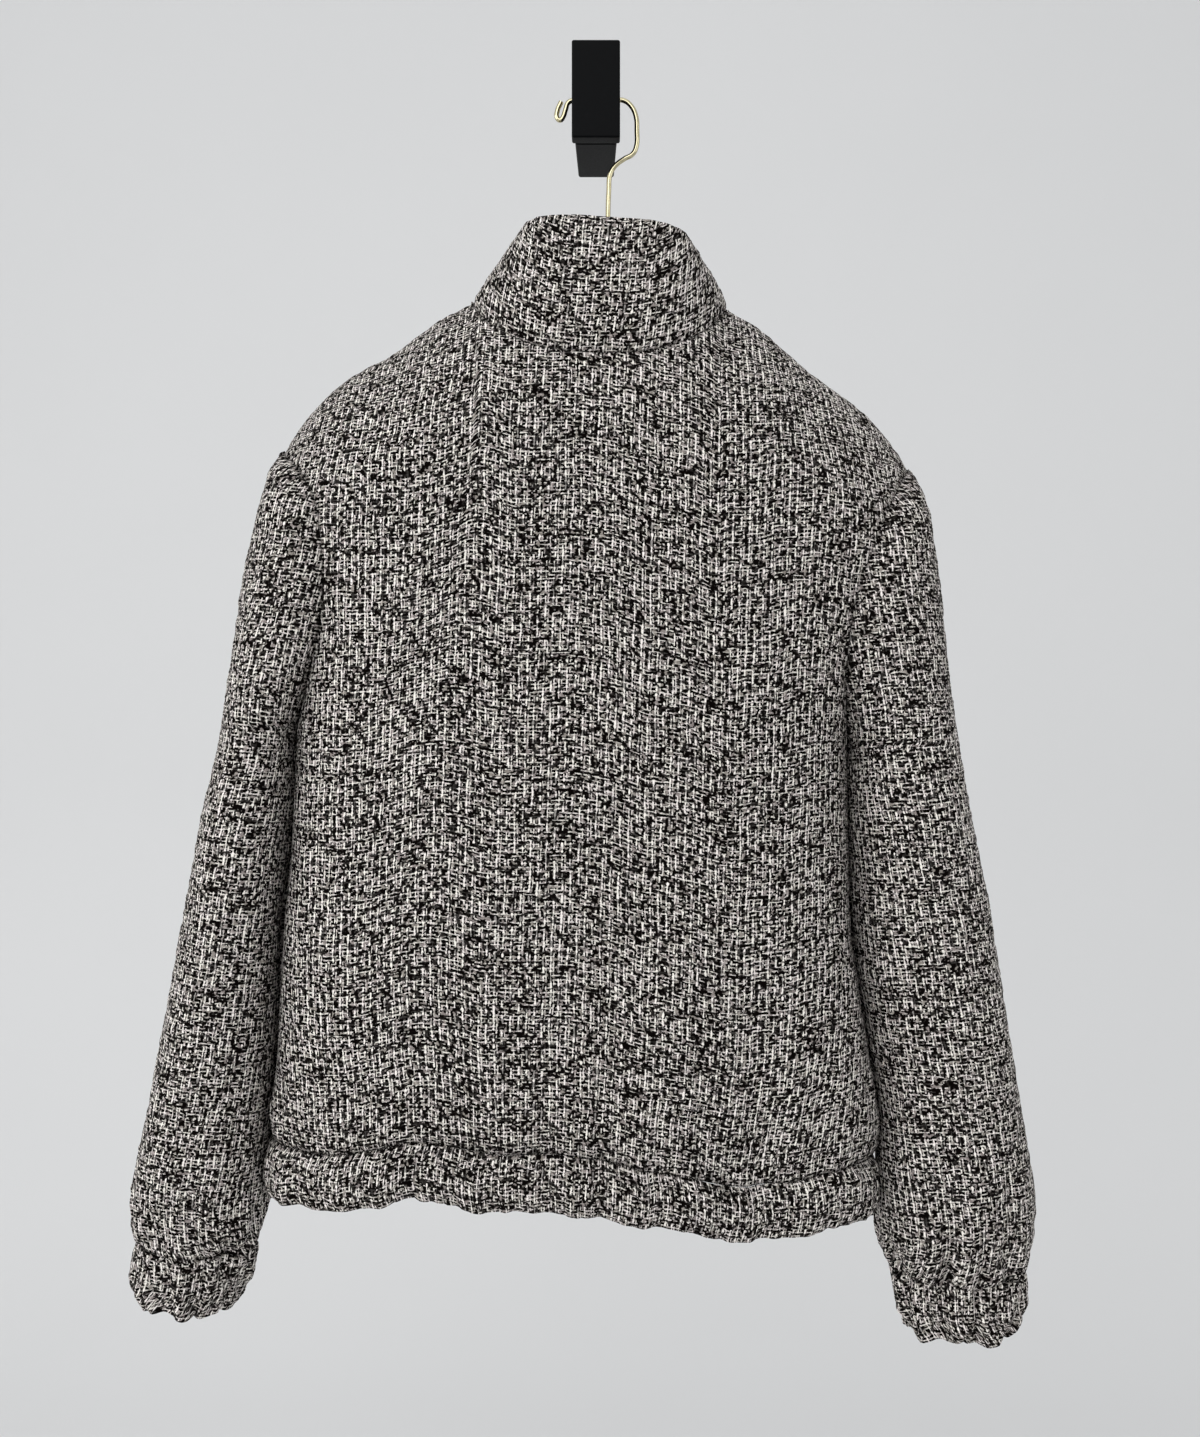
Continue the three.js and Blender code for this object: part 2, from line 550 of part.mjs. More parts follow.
// For each front: points up its edge on the cloth's outer face, the direction across the cloth away from the zip,
// and the direction out of it.
function zipEdge(side) {
  const panels = side < 0 ? [waistband, frontLeft, collar] : [waistband, frontRight, collar];
  const rows = panels.flatMap((panel, i) => {
    const edge = side < 0 ? 0 : panel.columns;
    const all = panel.points.map((line) => ({ p: line[edge].clone(), next: line[edge + (side < 0 ? 1 : -1)] }));
    return i < panels.length - 1 ? all.slice(0, -1) : all;
  });
  return rows.map(({ p, next }, i) => {
    const across = next.clone().sub(p).normalize();
    const up = rows[Math.min(i + 1, rows.length - 1)].p.clone().sub(rows[Math.max(i - 1, 0)].p);
    return { p, across, out: across.clone().cross(up).multiplyScalar(-side).normalize() };
  });
}

// A strip on one side of the zip: from and to are distances from the middle, depth is behind the outer face.
function zipStrip(side, from, to, depth, thickness, first, last) {
  const rows = zipEdge(side).slice(first, last);
  const layer = (behind) => rows.map(({ p, across, out }) => {
    const at = (distance) => p.clone().addScaledVector(across, distance - FRONT_EDGE_X).addScaledVector(out, -behind);
    return side < 0 ? [at(from), at(to)] : [at(to), at(from)];
  });
  return [layer(depth), layer(depth + thickness)];
}

// The thickest cloth that the tapes lie behind decides how far in they are.
const TAPE_DEPTH = COLLAR_CLOTH + TOUCH_GAP;
const TEETH_DEPTH = TAPE_DEPTH - TOUCH_GAP - TEETH.thickness;
const edgeRows = zipEdge(-1).map(({ p }) => p);

addMesh(hanging, 'zip_tape_left',
  wallGeometry(...zipStrip(-1, TAPE.inner, TAPE.reach, TAPE_DEPTH, TAPE.thickness, 0)), MATERIALS.tape);
addMesh(hanging, 'zip_tape_right',
  wallGeometry(...zipStrip(1, TAPE.inner, TAPE.reach, TAPE_DEPTH, TAPE.thickness, 0)), MATERIALS.tape);

// The teeth are one strip across the middle, from the box at the hem to the slider.
const teethLayers = [-1, 1].map((side) => zipStrip(side, 0, TEETH.halfWidth, TEETH_DEPTH, TEETH.thickness, 1, -1));
const joined = (layer) => teethLayers[0][layer].map((line, row) => [line[1], teethLayers[1][layer][row][0]]);
addMesh(hanging, 'zip_teeth', wallGeometry(joined(1), joined(0), false), MATERIALS.brass);

// ---------------------------------------------------------------------------------------------------------------
// Solids that need a cut or a join

function solid(geometry) {
  const bare = geometry.index ? geometry.toNonIndexed() : geometry.clone();
  bare.deleteAttribute('normal');
  bare.deleteAttribute('uv');
  const merged = mergeVertices(bare, 1e-4);
  return new wasm.Manifold(new wasm.Mesh({
    numProp: 3,
    vertProperties: new Float32Array(merged.attributes.position.array),
    triVerts: new Uint32Array(merged.index.array),
  }));
}

function geometryOf(manifold) {
  const mesh = manifold.getMesh();
  return new THREE.BufferGeometry()
    .setAttribute('position', new THREE.BufferAttribute(new Float32Array(mesh.vertProperties), 3))
    .setIndex(new THREE.BufferAttribute(new Uint32Array(mesh.triVerts), 1));
}

const box = (x, y, z, at) => new THREE.BoxGeometry(x, y, z).translate(at.x, at.y, at.z);

// The slider and its pull are made about the slider's middle: x across, y out of the front, z up the zip.
// The teeth end inside the slider, and above them a wedge joins its two plates between the tapes.
const sliderInside = { out: -TEETH_DEPTH + TOUCH_GAP, in: -TAPE_DEPTH - TAPE.thickness - TOUCH_GAP };

function sliderGeometry() {
  const height = SLIDER.length;
  const plate = (middle) => solid(box(2 * SLIDER.halfWidth, SLIDER.plate, height, vector(0, middle, 0)));
  const plates = plate(sliderInside.out + SLIDER.plate / 2).add(plate(sliderInside.in - SLIDER.plate / 2));
  const between = sliderInside.out - sliderInside.in + SLIDER.plate;
  const wedge = box(2 * SLIDER.wedge, between, height / 4,
    vector(0, (sliderInside.out + sliderInside.in) / 2, (height * 3) / 8 - 0.2));
  const face = sliderInside.out + SLIDER.plate;
  const bridge = box(BRIDGE.width, BRIDGE.rise, BRIDGE.length, vector(0, face + BRIDGE.rise / 2 - 0.2, 0));
  const under = box(BRIDGE.width * 2, BRIDGE.rise - BRIDGE.wall, BRIDGE.length - 2 * BRIDGE.wall,
    vector(0, face + (BRIDGE.rise - BRIDGE.wall) / 2, 0));
  return geometryOf(plates.add(solid(wedge)).add(solid(bridge).subtract(solid(under))));
}

// The pull hangs from a pin that goes through under the slider's bridge. The pin is its hinge.
const PIN_OUT = sliderInside.out + SLIDER.plate + (BRIDGE.rise - BRIDGE.wall) / 2;
const PIN_UP = -BRIDGE.length / 2 + BRIDGE.wall + PULL.pin + TOUCH_GAP;

function pullGeometry() {
  const half = PULL.width / 2;
  const bar = PULL.thickness;
  const pin = new THREE.CylinderGeometry(PULL.pin, PULL.pin, PULL.width - bar, 12).rotateZ(Math.PI / 2);
  const shape = new THREE.Shape();
  const round = half;
  shape.moveTo(-half, PULL.top);
  shape.lineTo(-half, -PULL.length + round);
  shape.absarc(0, -PULL.length + round, round, Math.PI, 2 * Math.PI, false);
  shape.lineTo(half, PULL.top);
  shape.closePath();
  const eye = new THREE.Path();
  const inside = half - bar;
  eye.moveTo(-inside, 2);
  eye.lineTo(inside, 2);
  eye.lineTo(inside, -PULL.eye);
  eye.lineTo(-inside, -PULL.eye);
  eye.closePath();
  const cut = new THREE.ExtrudeGeometry(new THREE.Shape(eye.getPoints()), { depth: 3 * bar, bevelEnabled: false })
    .translate(0, 0, -1.5 * bar).rotateX(Math.PI / 2);
  const plate = new THREE.ExtrudeGeometry(shape, { depth: bar, bevelEnabled: false, curveSegments: 10 })
    .translate(0, 0, -bar / 2).rotateX(Math.PI / 2);
  return geometryOf(solid(plate).subtract(solid(cut)).add(solid(pin)));
}

// Puts a piece on the zip at a height, turned to lie along it: out from the cloth's outer face, and up along the zip.
function placeOnZip(mesh, z, out = 0, up = 0) {
  const i = edgeRows.findIndex((p) => p.z > z);
  const [below, above] = [edgeRows[i - 1], edgeRows[i]];
  const direction = above.clone().sub(below).setX(0).normalize();
  const lean = Math.atan2(-direction.y, direction.z);
  mesh.position.copy(below).setX(0).addScaledVector(direction, (z - below.z) / direction.z);
  mesh.position.add(vector(0, out, up).applyAxisAngle(vector(1, 0, 0), lean));
  mesh.rotation.x = lean;
}

placeOnZip(addMesh(hanging, 'zip_slider', sliderGeometry(), MATERIALS.brass), SLIDER.middleZ);
placeOnZip(addMesh(hanging, 'zip_pull', pullGeometry(), MATERIALS.brass), SLIDER.middleZ, PIN_OUT, PIN_UP);

// The box that holds the zip's two halves together at the hem lies on the tapes, below the teeth.
const boxThickness = TEETH.thickness + BOX.proud;
placeOnZip(addMesh(hanging, 'zip_box', box(BOX.width, boxThickness, BOX.height, vector(0, 0, 0)), MATERIALS.brass),
  edgeRows[0].z + BOX.height / 2 + 1.5, boxThickness / 2 - TEETH_DEPTH - TEETH.thickness);

// ---------------------------------------------------------------------------------------------------------------
// The hanger

function tube(points, radius, steps, sides = 8, closed = false) {
  const curve = new THREE.CatmullRomCurve3(points, closed, 'centripetal');
  const section = new THREE.Shape(Array.from({ length: sides }, (_, i) => {
    const angle = ((i + 0.5) * 2 * Math.PI) / sides;
    return new THREE.Vector2(radius * Math.cos(angle), radius * Math.sin(angle));
  }));
  return new THREE.ExtrudeGeometry(section, { steps, bevelEnabled: false, extrudePath: curve });
}

// One arm of the frame: from the ferrule, out under the shoulder seam, round the corner to the bar.
function framePoints(side) {
  const under = CLOTH + TOUCH_GAP + WIRE_RADIUS + 1.95;
  const points = [vector(FRAME_APEX.x + side * 0.5, 0, FRAME_APEX.z), vector(side * 38, 0, 17)];
  for (let x = NECK.halfWidth - 8; x <= FRAME_REACH; x += 16) {
    const at = Math.max(x, NECK.halfWidth);
    const [from, to] = [Math.max(at - 4, NECK.halfWidth), at + 4];
    const tilt = Math.atan((shoulderAt(to).z - shoulderAt(from).z) / (to - from));
    points.push(vector(side * (x + under * Math.sin(tilt)), 0, shoulderAt(at).z - under * Math.cos(tilt)));
  }
  points.push(vector(side * FRAME_CORNER.x, 0, FRAME_CORNER.z), vector(side * (FRAME_CORNER.x - 12), 0, FRAME_BAR_Z));
  return points;
}

const frameLoop = [
  ...framePoints(1),
  vector(100, 0, FRAME_BAR_Z),
  vector(0, 0, FRAME_BAR_Z),
  vector(-100, 0, FRAME_BAR_Z),
  ...framePoints(-1).reverse(),
];
const FRAME_STEPS = 110;
addMesh(hanging, 'hanger_frame', tube(frameLoop, WIRE_RADIUS, FRAME_STEPS), MATERIALS.brass);

// The hook's line in the hanging group: up from the ferrule, out to the right, over the wall hook's arm, and its
// end doubled back. Its flat top is level although the jacket hangs askew.
const topZ = (HOOK_TOP_Z - HANGING_PLACE.z) / Math.cos(HANGING_TILT);
const levelAt = (x) => topZ + x * Math.tan(HANGING_TILT);
const HOOK_LINE = [
  [4.4, FERRULE.top - 3], [4.4, 60], [4.5, 82], [5.2, 93], [8.6, 99], [14.5, 103.8], [20.5, 107.5], [22.9, 113],
  [23, 124], [22, 134], [18.5, 141], [13, levelAt(13)], [6, levelAt(6)], [-8, levelAt(-8)], [-20.5, levelAt(-20.5)],
  [-25.2, 142.6], [-27.4, 137], [-29, 132], [-31, 129.8], [-33.2, 131.8], [-33, 136.5], [-30.6, 142.6],
].map(([x, z]) => vector(x, 0, z));
const HOOK_STEPS = 76;

function hookGeometry() {
  const ferrule = new THREE.CylinderGeometry(FERRULE.radius, FERRULE.radius, FERRULE.top - FERRULE.bottom, 16)
    .rotateX(Math.PI / 2).translate(FRAME_APEX.x, 0, (FERRULE.top + FERRULE.bottom) / 2);
  const socket = solid(tube(frameLoop, WIRE_RADIUS + TOUCH_GAP, FRAME_STEPS))
    .add(solid(box(3, 2 * WIRE_RADIUS + 0.6, 2 * WIRE_RADIUS + 0.6, vector(FRAME_APEX.x, 0, FRAME_APEX.z))));
  return geometryOf(solid(tube(HOOK_LINE, WIRE_RADIUS, HOOK_STEPS)).add(solid(ferrule)).subtract(socket));
}

addMesh(hanging, 'hanger_hook', hookGeometry(), MATERIALS.brass);

// ---------------------------------------------------------------------------------------------------------------
// The wall hook: an arm out of the wall and an upright plate at its end

function armGeometry() {
  const half = ARM.height / 2;
  const shape = new THREE.Shape();
  shape.moveTo(-ARM.wallWidth / 2, 0);
  shape.lineTo(-ARM.plateWidth / 2, -ARM.length);
  shape.lineTo(ARM.plateWidth / 2, -ARM.length);
  shape.lineTo(ARM.wallWidth / 2, 0);
  shape.closePath();
  return new THREE.ExtrudeGeometry(shape, { depth: ARM.height, bevelEnabled: false }).translate(0, 0, -half);
}

function plateGeometry() {
  const half = PLATE.width / 2 - PLATE.bevel;
  const shape = new THREE.Shape();
  const low = PLATE.bevel;
  const high = PLATE.height - PLATE.bevel;
  shape.moveTo(-half, low);
  shape.lineTo(half, low);
  shape.lineTo(half, high);
  shape.lineTo(-half, high);
  shape.closePath();
  return new THREE.ExtrudeGeometry(shape, {
    depth: PLATE.thickness - 2 * PLATE.bevel, bevelThickness: PLATE.bevel, bevelSize: PLATE.bevel, bevelSegments: 2,
  }).translate(0, 0, PLATE.bevel).rotateX(Math.PI / 2);
}

addMesh(part, 'wall_hook_arm', armGeometry(), MATERIALS.black);
const plate = addMesh(part, 'wall_hook_plate', plateGeometry(), MATERIALS.black);
plate.position.set(0, -ARM.length - TOUCH_GAP, -ARM.height / 2);

export default part;
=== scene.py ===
"""A bomber jacket of bouclé tweed on a wire hanger and a wall hook, in Blender 4.5.

The pieces are laid out in millimetres in the jacket's own frame: x to the wearer's right, y to the front and z up,
with the origin between the two neck points. hang() takes them to the frame of the CAD model, in metres.
"""

import math

import bmesh
import bpy
import numpy as np
from bpy.props import FloatProperty, FloatVectorProperty, PointerProperty
from mathutils import Matrix, Vector, kdtree


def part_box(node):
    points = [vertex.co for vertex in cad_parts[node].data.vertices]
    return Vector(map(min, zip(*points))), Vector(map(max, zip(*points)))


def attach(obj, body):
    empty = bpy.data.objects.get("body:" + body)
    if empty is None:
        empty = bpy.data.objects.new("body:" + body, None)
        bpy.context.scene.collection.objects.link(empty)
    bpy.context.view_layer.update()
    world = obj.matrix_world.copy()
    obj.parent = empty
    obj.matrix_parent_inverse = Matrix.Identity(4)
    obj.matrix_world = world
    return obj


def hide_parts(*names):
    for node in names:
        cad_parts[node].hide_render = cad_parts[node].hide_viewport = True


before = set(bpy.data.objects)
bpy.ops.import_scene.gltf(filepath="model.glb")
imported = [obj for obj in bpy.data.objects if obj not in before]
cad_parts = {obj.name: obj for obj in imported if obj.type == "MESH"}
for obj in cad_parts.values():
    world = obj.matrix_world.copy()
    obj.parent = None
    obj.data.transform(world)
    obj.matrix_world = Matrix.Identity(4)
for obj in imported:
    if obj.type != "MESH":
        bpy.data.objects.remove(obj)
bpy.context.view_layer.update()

bl_info = {
    "name": "Bomber Jacket on a Hanger",
    "version": (1, 0, 0),
    "blender": (4, 5, 0),
    "location": "3D View > Sidebar > Jacket",
    "description": "Builds a tweed bomber jacket on a wire hanger and a wall hook",
    "category": "Add Mesh",
}

# ----------------------------------------------------------------------------------------------------------------
# The jacket's cut, in millimetres

HANG_PLACE = (2.2, -58.0, -126.2)  # of the jacket's origin, in the CAD frame
HANG_TILT = math.radians(1.6)  # down to the wearer's right
NECK_HALF_WIDTH = 88.0
NECK_RIDGE = 30.0
TIP_X, TIP_Z = 219.0, -108.0
ARMPIT_Z = -300.0
WAIST_Z = -584.0
TYPICAL_HALF_WIDTH = 200.0
NECK_COLUMNS, HALF_COLUMNS = 6, 12  # columns from the centre line to the neck point, and to the side
NECK_CURVE, NECK_FALL = 2.5, 0.7  # how the neckline rises from the centre line to the neck point
ROW_RISE = 2.2  # how late the rows turn up to the slope of the shoulder
SHOULDER_CURVE, SHOULDER_FALL = 1.7, 0.72  # how the cloth falls from the shoulder line to its full depth
SIDE_FADE = 6  # how close to the side folds and waves still reach

# What differs between the back and the fronts: direction, inner edge, drop of the neckline, squareness of the
# cross-section, the height over which the cloth falls out to its full depth, and which of the two DEPTHS it takes.
FACES = {
    "back": {"sign": -1, "edge": 0.0, "drop": 47.0, "power": 2.8, "fall": 105.0, "depth": 0},
    "front": {"sign": 1, "edge": 5.6, "drop": 75.0, "power": 2.6, "fall": 90.0, "depth": 1},
}

# x, z of the shoulder line
SHOULDER_LINE = ((88, 0), (114, -14), (143, -38), (172, -58), (192, -74), (206, -90), (219, -108))
# z, left, right, spread of the armhole's seam
ARMHOLE = (
    (-300, 200, 180, 0), (-290, 197.2, 178.4, 2), (-265, 190, 175, 7), (-230, 182, 175, 14), (-200, 180, 179, 20),
    (-170, 182, 188, 27), (-145, 188, 198, 31), (-122, 204, 210, 28), (-108, 219, 219, 20),
)
# z, left, right of the sides
SIDES = (
    (-584, 210, 208), (-562, 212, 210), (-530, 209, 204), (-480, 207.5, 195), (-430, 206, 187), (-380, 202, 183),
    (-335, 200, 181), (-300, 200, 180),
)
# z, depth behind and in front of the hanger
DEPTHS = (
    (-584, 75, 44), (-555, 80, 47), (-480, 81, 48), (-400, 80, 48), (-300, 79, 46), (-200, 76, 44), (-108, 73, 42),
    (-47, 70, 42), (0, 70, 42),
)
# drop below the seam, and how far the band stands out
WAISTBAND = ((0, 0), (10, 2.6), (27, 3.0), (40, 0.5))
# x, reach, rise of the back's waist
WAIST_WAVES = ((-102, 42, 14), (-12, 50, 10), (120, 60, -9))
# x, reach, depth, top, bottom of the largest folds
FOLDS = {
    "back": (
        (-146, 26, 4, -190, -520), (-92, 24, 4, -420, -700), (118, 30, 3.5, -430, -700), (30, 34, 2.5, -300, -560),
    ),
    "front": ((-120, 30, 3, -230, -700), (108, 34, 3, -260, -700)),
}
# Outer x and z, inner x and z, depth behind and in front, down each sleeve from below the shoulder to the cuff
LEFT_SLEEVE = (
    (225.5, -122, 216, -286, 43, 28), (232, -148, 208, -309, 48, 35), (240, -193, 205, -322, 52, 39),
    (247.5, -252, 203.5, -336, 54, 42), (254, -316, 202.5, -356, 54, 44), (264, -360, 204, -386, 54, 45),
    (273, -412, 207.5, -427, 53, 45), (283, -475, 209, -487, 52, 44), (293, -539, 211, -548, 50, 43),
    (302, -590, 211.5, -600, 47, 42), (306.5, -626, 210.5, -634, 43.5, 40.5), (305, -649, 216, -655, 40, 38),
    (302, -660, 222.5, -666, 37, 35.5),
)
RIGHT_SLEEVE = (
    (225.5, -121, 191, -296, 43, 31), (234.5, -147, 187.5, -312, 48, 35), (242, -190, 185.5, -322, 52, 39),
    (249, -247, 184.5, -336, 54, 42), (258, -303, 184, -356, 54, 44), (269, -355, 185.5, -386, 54, 45),
    (279.5, -403, 189, -427, 53, 45), (294, -476, 198.5, -490, 52, 45), (308, -545, 209.5, -553, 51, 44),
    (318, -598, 210.5, -606, 49, 43), (321.5, -633, 211.5, -640, 45.5, 41.5), (319, -653, 217.5, -658, 42, 39),
    (317, -663, 222, -668, 39, 36.5),
)
LEFT_CUFF = (
    (302, -660, 222.5, -666, 37, 35.5), (305, -672, 223.5, -677, 37, 36), (305.5, -686, 225.5, -690, 37, 35),
    (297, -702, 231.5, -706, 33, 31),
)
RIGHT_CUFF = (
    (317, -663, 222, -668, 39, 36.5), (317.5, -675, 223.5, -680, 39, 37), (316.5, -690, 226, -694, 39, 36),
    (309.5, -706, 232, -709, 34, 32),
)
SLEEVE_POWER = 2.3  # squareness of the cross-section
SLEEVE_GIRTH, CUFF_GIRTH, BACK_HALF_GIRTH, FRONT_HALF_GIRTH = 262.0, 236.0, 243.0, 222.0
# How far the inner side of a sleeve keeps off the body, and down to which height
SLEEVE_GAP, SLEEVE_GAP_END_Z = 1.6, -560.0
# Down to a height, the seam takes this share of the sleeve's depth. Below it: z, depth beside the armhole.
SEAM_SHARE, SEAM_SHARE_END_Z = 0.94, -172.0
SHOULDER_DEPTHS = {"back": ((-300, 54), (-250, 54), (-210, 54)), "front": ((-300, 43.5), (-260, 41), (-215, 35))}
COLLAR_TOP = {"half_width": 57.5, "back": 60.0, "front": 45.0, "z": 45.0, "lean": 4.5, "power": 3.1}
COLLAR_GIRTH, COLLAR_HEIGHT = 470.0, 96.0
# How far the collar rolls out, at which share of its height, and how much of that is left at the sides
COLLAR_ROLL, COLLAR_ROLL_AT, COLLAR_SIDE_ROLL = 4.5, 0.28, 0.4
BAND_GIRTH, BAND_LENGTH, BAND_DROP = 930.0, 44.0, 40.0

# Small changes to the hang of all the cloth
SHOULDER_LIFT = {"x": -178, "reach": 34, "rise": 3.6, "from": -190, "to": -70}
COLLAR_SLOPE = {"slope": 0.045, "from": 15, "to": 45}
# height, size and seed of the waves along the hem and the cuffs, and x, reach, rise of the hem's lifts
HEM_WAVES = ((3.5, (22, 30, 500), 21), (2.0, (9, 14, 500), 22))
HEM_LIFTS = ((100, 90, 4.0), (-150, 60, 3.0))
# How far down they begin and are whole
HEM_WAVES_DOWN, HEM_LIFTS_DOWN = (560, 620), (596, 626)

# height, size and seed of the cloth's soft unevenness and of its knobs
UNEVENNESS = ((1.3, (55, 55, 110), 3), (0.7, (24, 24, 40), 5))
KNOBS = ((1.0, 5.5, 7), (0.8, 3.6, 8))
ZIP_CALM = (8, 34)  # the distances from the zip between which the gathers begin
SEAM_REACH, SEAM_EDGE = 2.6, 1.3  # how far from a seam it pulls the cloth in, and how sharply
NEIGHBOUR_REACH = 2.6  # points on edges this close to each other lie on one seam

# The zip, from the middle outwards and back from the cloth's outer face
TAPE_INNER, TAPE_REACH, TAPE_DEPTH, TAPE_THICKNESS = 1.7, 13.0, 3.05, 0.9
TEETH_DEPTH, TOOTH_PITCH = 1.5, 2.5
BOX_LENGTH, SLIDER_BELOW, SLIDER_Z = 11.0, 4.0, 33.0  # where the teeth end at the box and at the slider

# The hanger's wire: x and z, with None for a height where it lies level on the wall hook
HOOK_LINE = (
    (4.4, 37), (4.4, 60), (4.5, 82), (5.2, 93), (8.6, 99), (14.5, 103.8), (20.5, 107.5), (22.9, 113), (23, 124),
    (22, 134), (18.5, 141), (13, None), (6, None), (-8, None), (-20.5, None), (-25.2, 142.6), (-27.4, 137),
    (-29, 132), (-31, 129.8), (-33.2, 131.8), (-33, 136.5), (-30.6, 142.6),
)
HOOK_TOP_Z = 18.2  # of the wire's middle on the wall hook, in the CAD frame
# x, z of the frame's top, its bend below the neck and its corner, and the height of its bar
FRAME_APEX, FRAME_BEND, FRAME_CORNER, FRAME_BAR_Z = (4.0, 27.0), (38.0, 17.0), (189.0, -86.0), -100.0
FRAME_REACH, FRAME_STEP = 176.0, 16.0  # how far out it follows the shoulder line, and between its points there
WIRE_RADIUS = 1.75
FRAME_UNDER = 2.2 + 0.3 + WIRE_RADIUS + 1.95  # below the shoulder line: the cloth, its seam, the wire and a gap
FERRULE_RADIUS, FERRULE_LENGTH, FERRULE_MIDDLE = 0.0042, 0.023, 0.0285  # in metres, before it is hung
HOOK_ARM_TAPER = 26 / 29  # width of the wall hook's arm at the wall, as a share of its width at the plate

# The studio, in metres: name, place, target, size and share of the main light, for each lamp
LAMPS = (
    ("key", (-0.9, -2.9, 1.2), (0, -0.1, -0.5), 2.6, 2.2),
    ("top", (0.1, -0.5, 2.3), (0, -0.1, -0.3), 2.2, 0.35),
    ("left", (-2.8, -1.1, -0.1), (0, -0.1, -0.5), 1.8, 1.8),
    ("right", (2.8, -1.6, 0.3), (0, -0.1, -0.5), 1.8, 0.6),
)
SWEEP_REACH, SWEEP_BEND = 7.0, 1.2
ROOM_COLOUR = (0.97, 0.985, 1.0, 1.0)
CAMERA_PLACE, CAMERA_LENS, CAMERA_SENSOR = (0.0028, -1.158, -0.4145), 39.36, 36.0


# ----------------------------------------------------------------------------------------------------------------
# Sizes and colours that a user would change


def length_setting(name, description, default, low=None):
    """A length in metres, with its lowest value."""
    limits = {} if low is None else {"min": low}
    return FloatProperty(
        name=name, description=description, default=default, subtype="DISTANCE", unit="LENGTH", **limits
    )


def colour_setting(name, description, default):
    """A colour in linear red, green and blue."""
    return FloatVectorProperty(
        name=name, description=description, default=default, size=3, min=0, max=1, subtype="COLOR"
    )


class JacketSizes(bpy.types.PropertyGroup):
    """Sizes of the cloth and its finish."""

    cloth: length_setting("Cloth", "Thickness of the tweed", 0.0022, 0.0005)
    collar_cloth: length_setting("Collar cloth", "Thickness of the collar's two layers", 0.003, 0.0005)
    cell: length_setting("Cell", "Length of a mesh cell of the cloth", 0.0023, 0.001)
    knobs: length_setting("Knobs", "Height of the bouclé's knobs", 0.0006, 0.0)
    seam: length_setting("Seams", "How far a seam pulls the cloth in", 0.0016, 0.0)
    gathers: length_setting("Gathers", "Depth of the creases where the cloth is gathered", 0.0024, 0.0)
    yarn: length_setting("Yarn pitch", "Mean distance between upright yarns, which lie in pairs", 0.00264, 0.001)


class JacketColours(bpy.types.PropertyGroup):
    """Colours of the yarns and the metal."""

    ivory: colour_setting("Ivory yarn", "The light yarn", (0.97, 0.935, 0.895))
    grey: colour_setting("Grey yarn", "The soft slubs", (0.40, 0.37, 0.35))
    black: colour_setting("Black yarn", "The dark ground", (0.0016, 0.0009, 0.0006))
    gold: colour_setting("Pale gold", "The hanger and the zip", (0.55, 0.50, 0.33))
    hook: colour_setting("Wall hook", "The wall hook's paint", (0.0016, 0.0018, 0.0022))


class JacketStage(bpy.types.PropertyGroup):
    """The studio."""

    floor_z: length_setting("Floor", "Height of the studio floor", -1.75)
    backdrop_y: length_setting("Backdrop", "Distance of the backdrop", 3.0)
    light: FloatProperty(name="Light", description="Strength of the main light", default=18.2, min=0.0, unit="POWER")
    fill: FloatProperty(name="Fill", description="Brightness of the room", default=0.72, min=0.0)
    tone: colour_setting("Studio tone", "Colour of the floor and the backdrop", (0.755, 0.755, 0.755))


# ----------------------------------------------------------------------------------------------------------------
# Shape helpers


def smooth(value, start, end):
    """0 before start, 1 after end, and an even curve between them."""
    t = np.clip((value - start) / (end - start), 0.0, 1.0)
    return t * t * (3.0 - 2.0 * t)


def bell(value, centre, reach):
    """A soft bump, 1 at its centre."""
    return np.exp(-(((value - centre) / reach) ** 2))


def signed_power(value, exponent):
    return np.sign(value) * np.abs(value) ** exponent


def unit(vectors):
    """Vectors of length 1 in the same directions."""
    return vectors / np.maximum(np.linalg.norm(vectors, axis=-1, keepdims=True), 1e-9)


def running(steps, axis=0):
    """The running total of steps along an axis, from 0."""
    start = np.zeros_like(np.take(steps, [0], axis=axis))
    return np.concatenate([start, np.cumsum(steps, axis=axis)], axis=axis)


def spread(length, count, *values):
    """Values at count + 1 places that are evenly spaced along a running length."""
    even = np.linspace(0, length[-1], count + 1)
    return [np.interp(even, length, value) for value in values]


def follow(rows, at):
    """The columns of a table at values of its first column, on a smooth curve through its rows."""
    rows = np.asarray(rows, float)
    if rows[0, 0] > rows[-1, 0]:
        rows = rows[::-1]
    key, table = rows[:, 0], rows[:, 1:]
    before = np.maximum(np.arange(len(key)) - 1, 0)
    after = np.minimum(np.arange(len(key)) + 1, len(key) - 1)
    slopes = (table[after] - table[before]) / (key[after] - key[before])[:, None]
    at = np.asarray(at, float)
    i = np.clip(np.searchsorted(key, at) - 1, 0, len(key) - 2)
    span = (key[i + 1] - key[i])[..., None]
    t = np.clip((at - key[i])[..., None] / span, 0.0, 1.0)
    result = (
        table[i] * (1 - t) ** 2 * (1 + 2 * t)
        + table[i + 1] * t**2 * (3 - 2 * t)
        + span * (slopes[i] * t * (1 - t) ** 2 - slopes[i + 1] * t**2 * (1 - t))
    )
    return np.moveaxis(result, -1, 0)


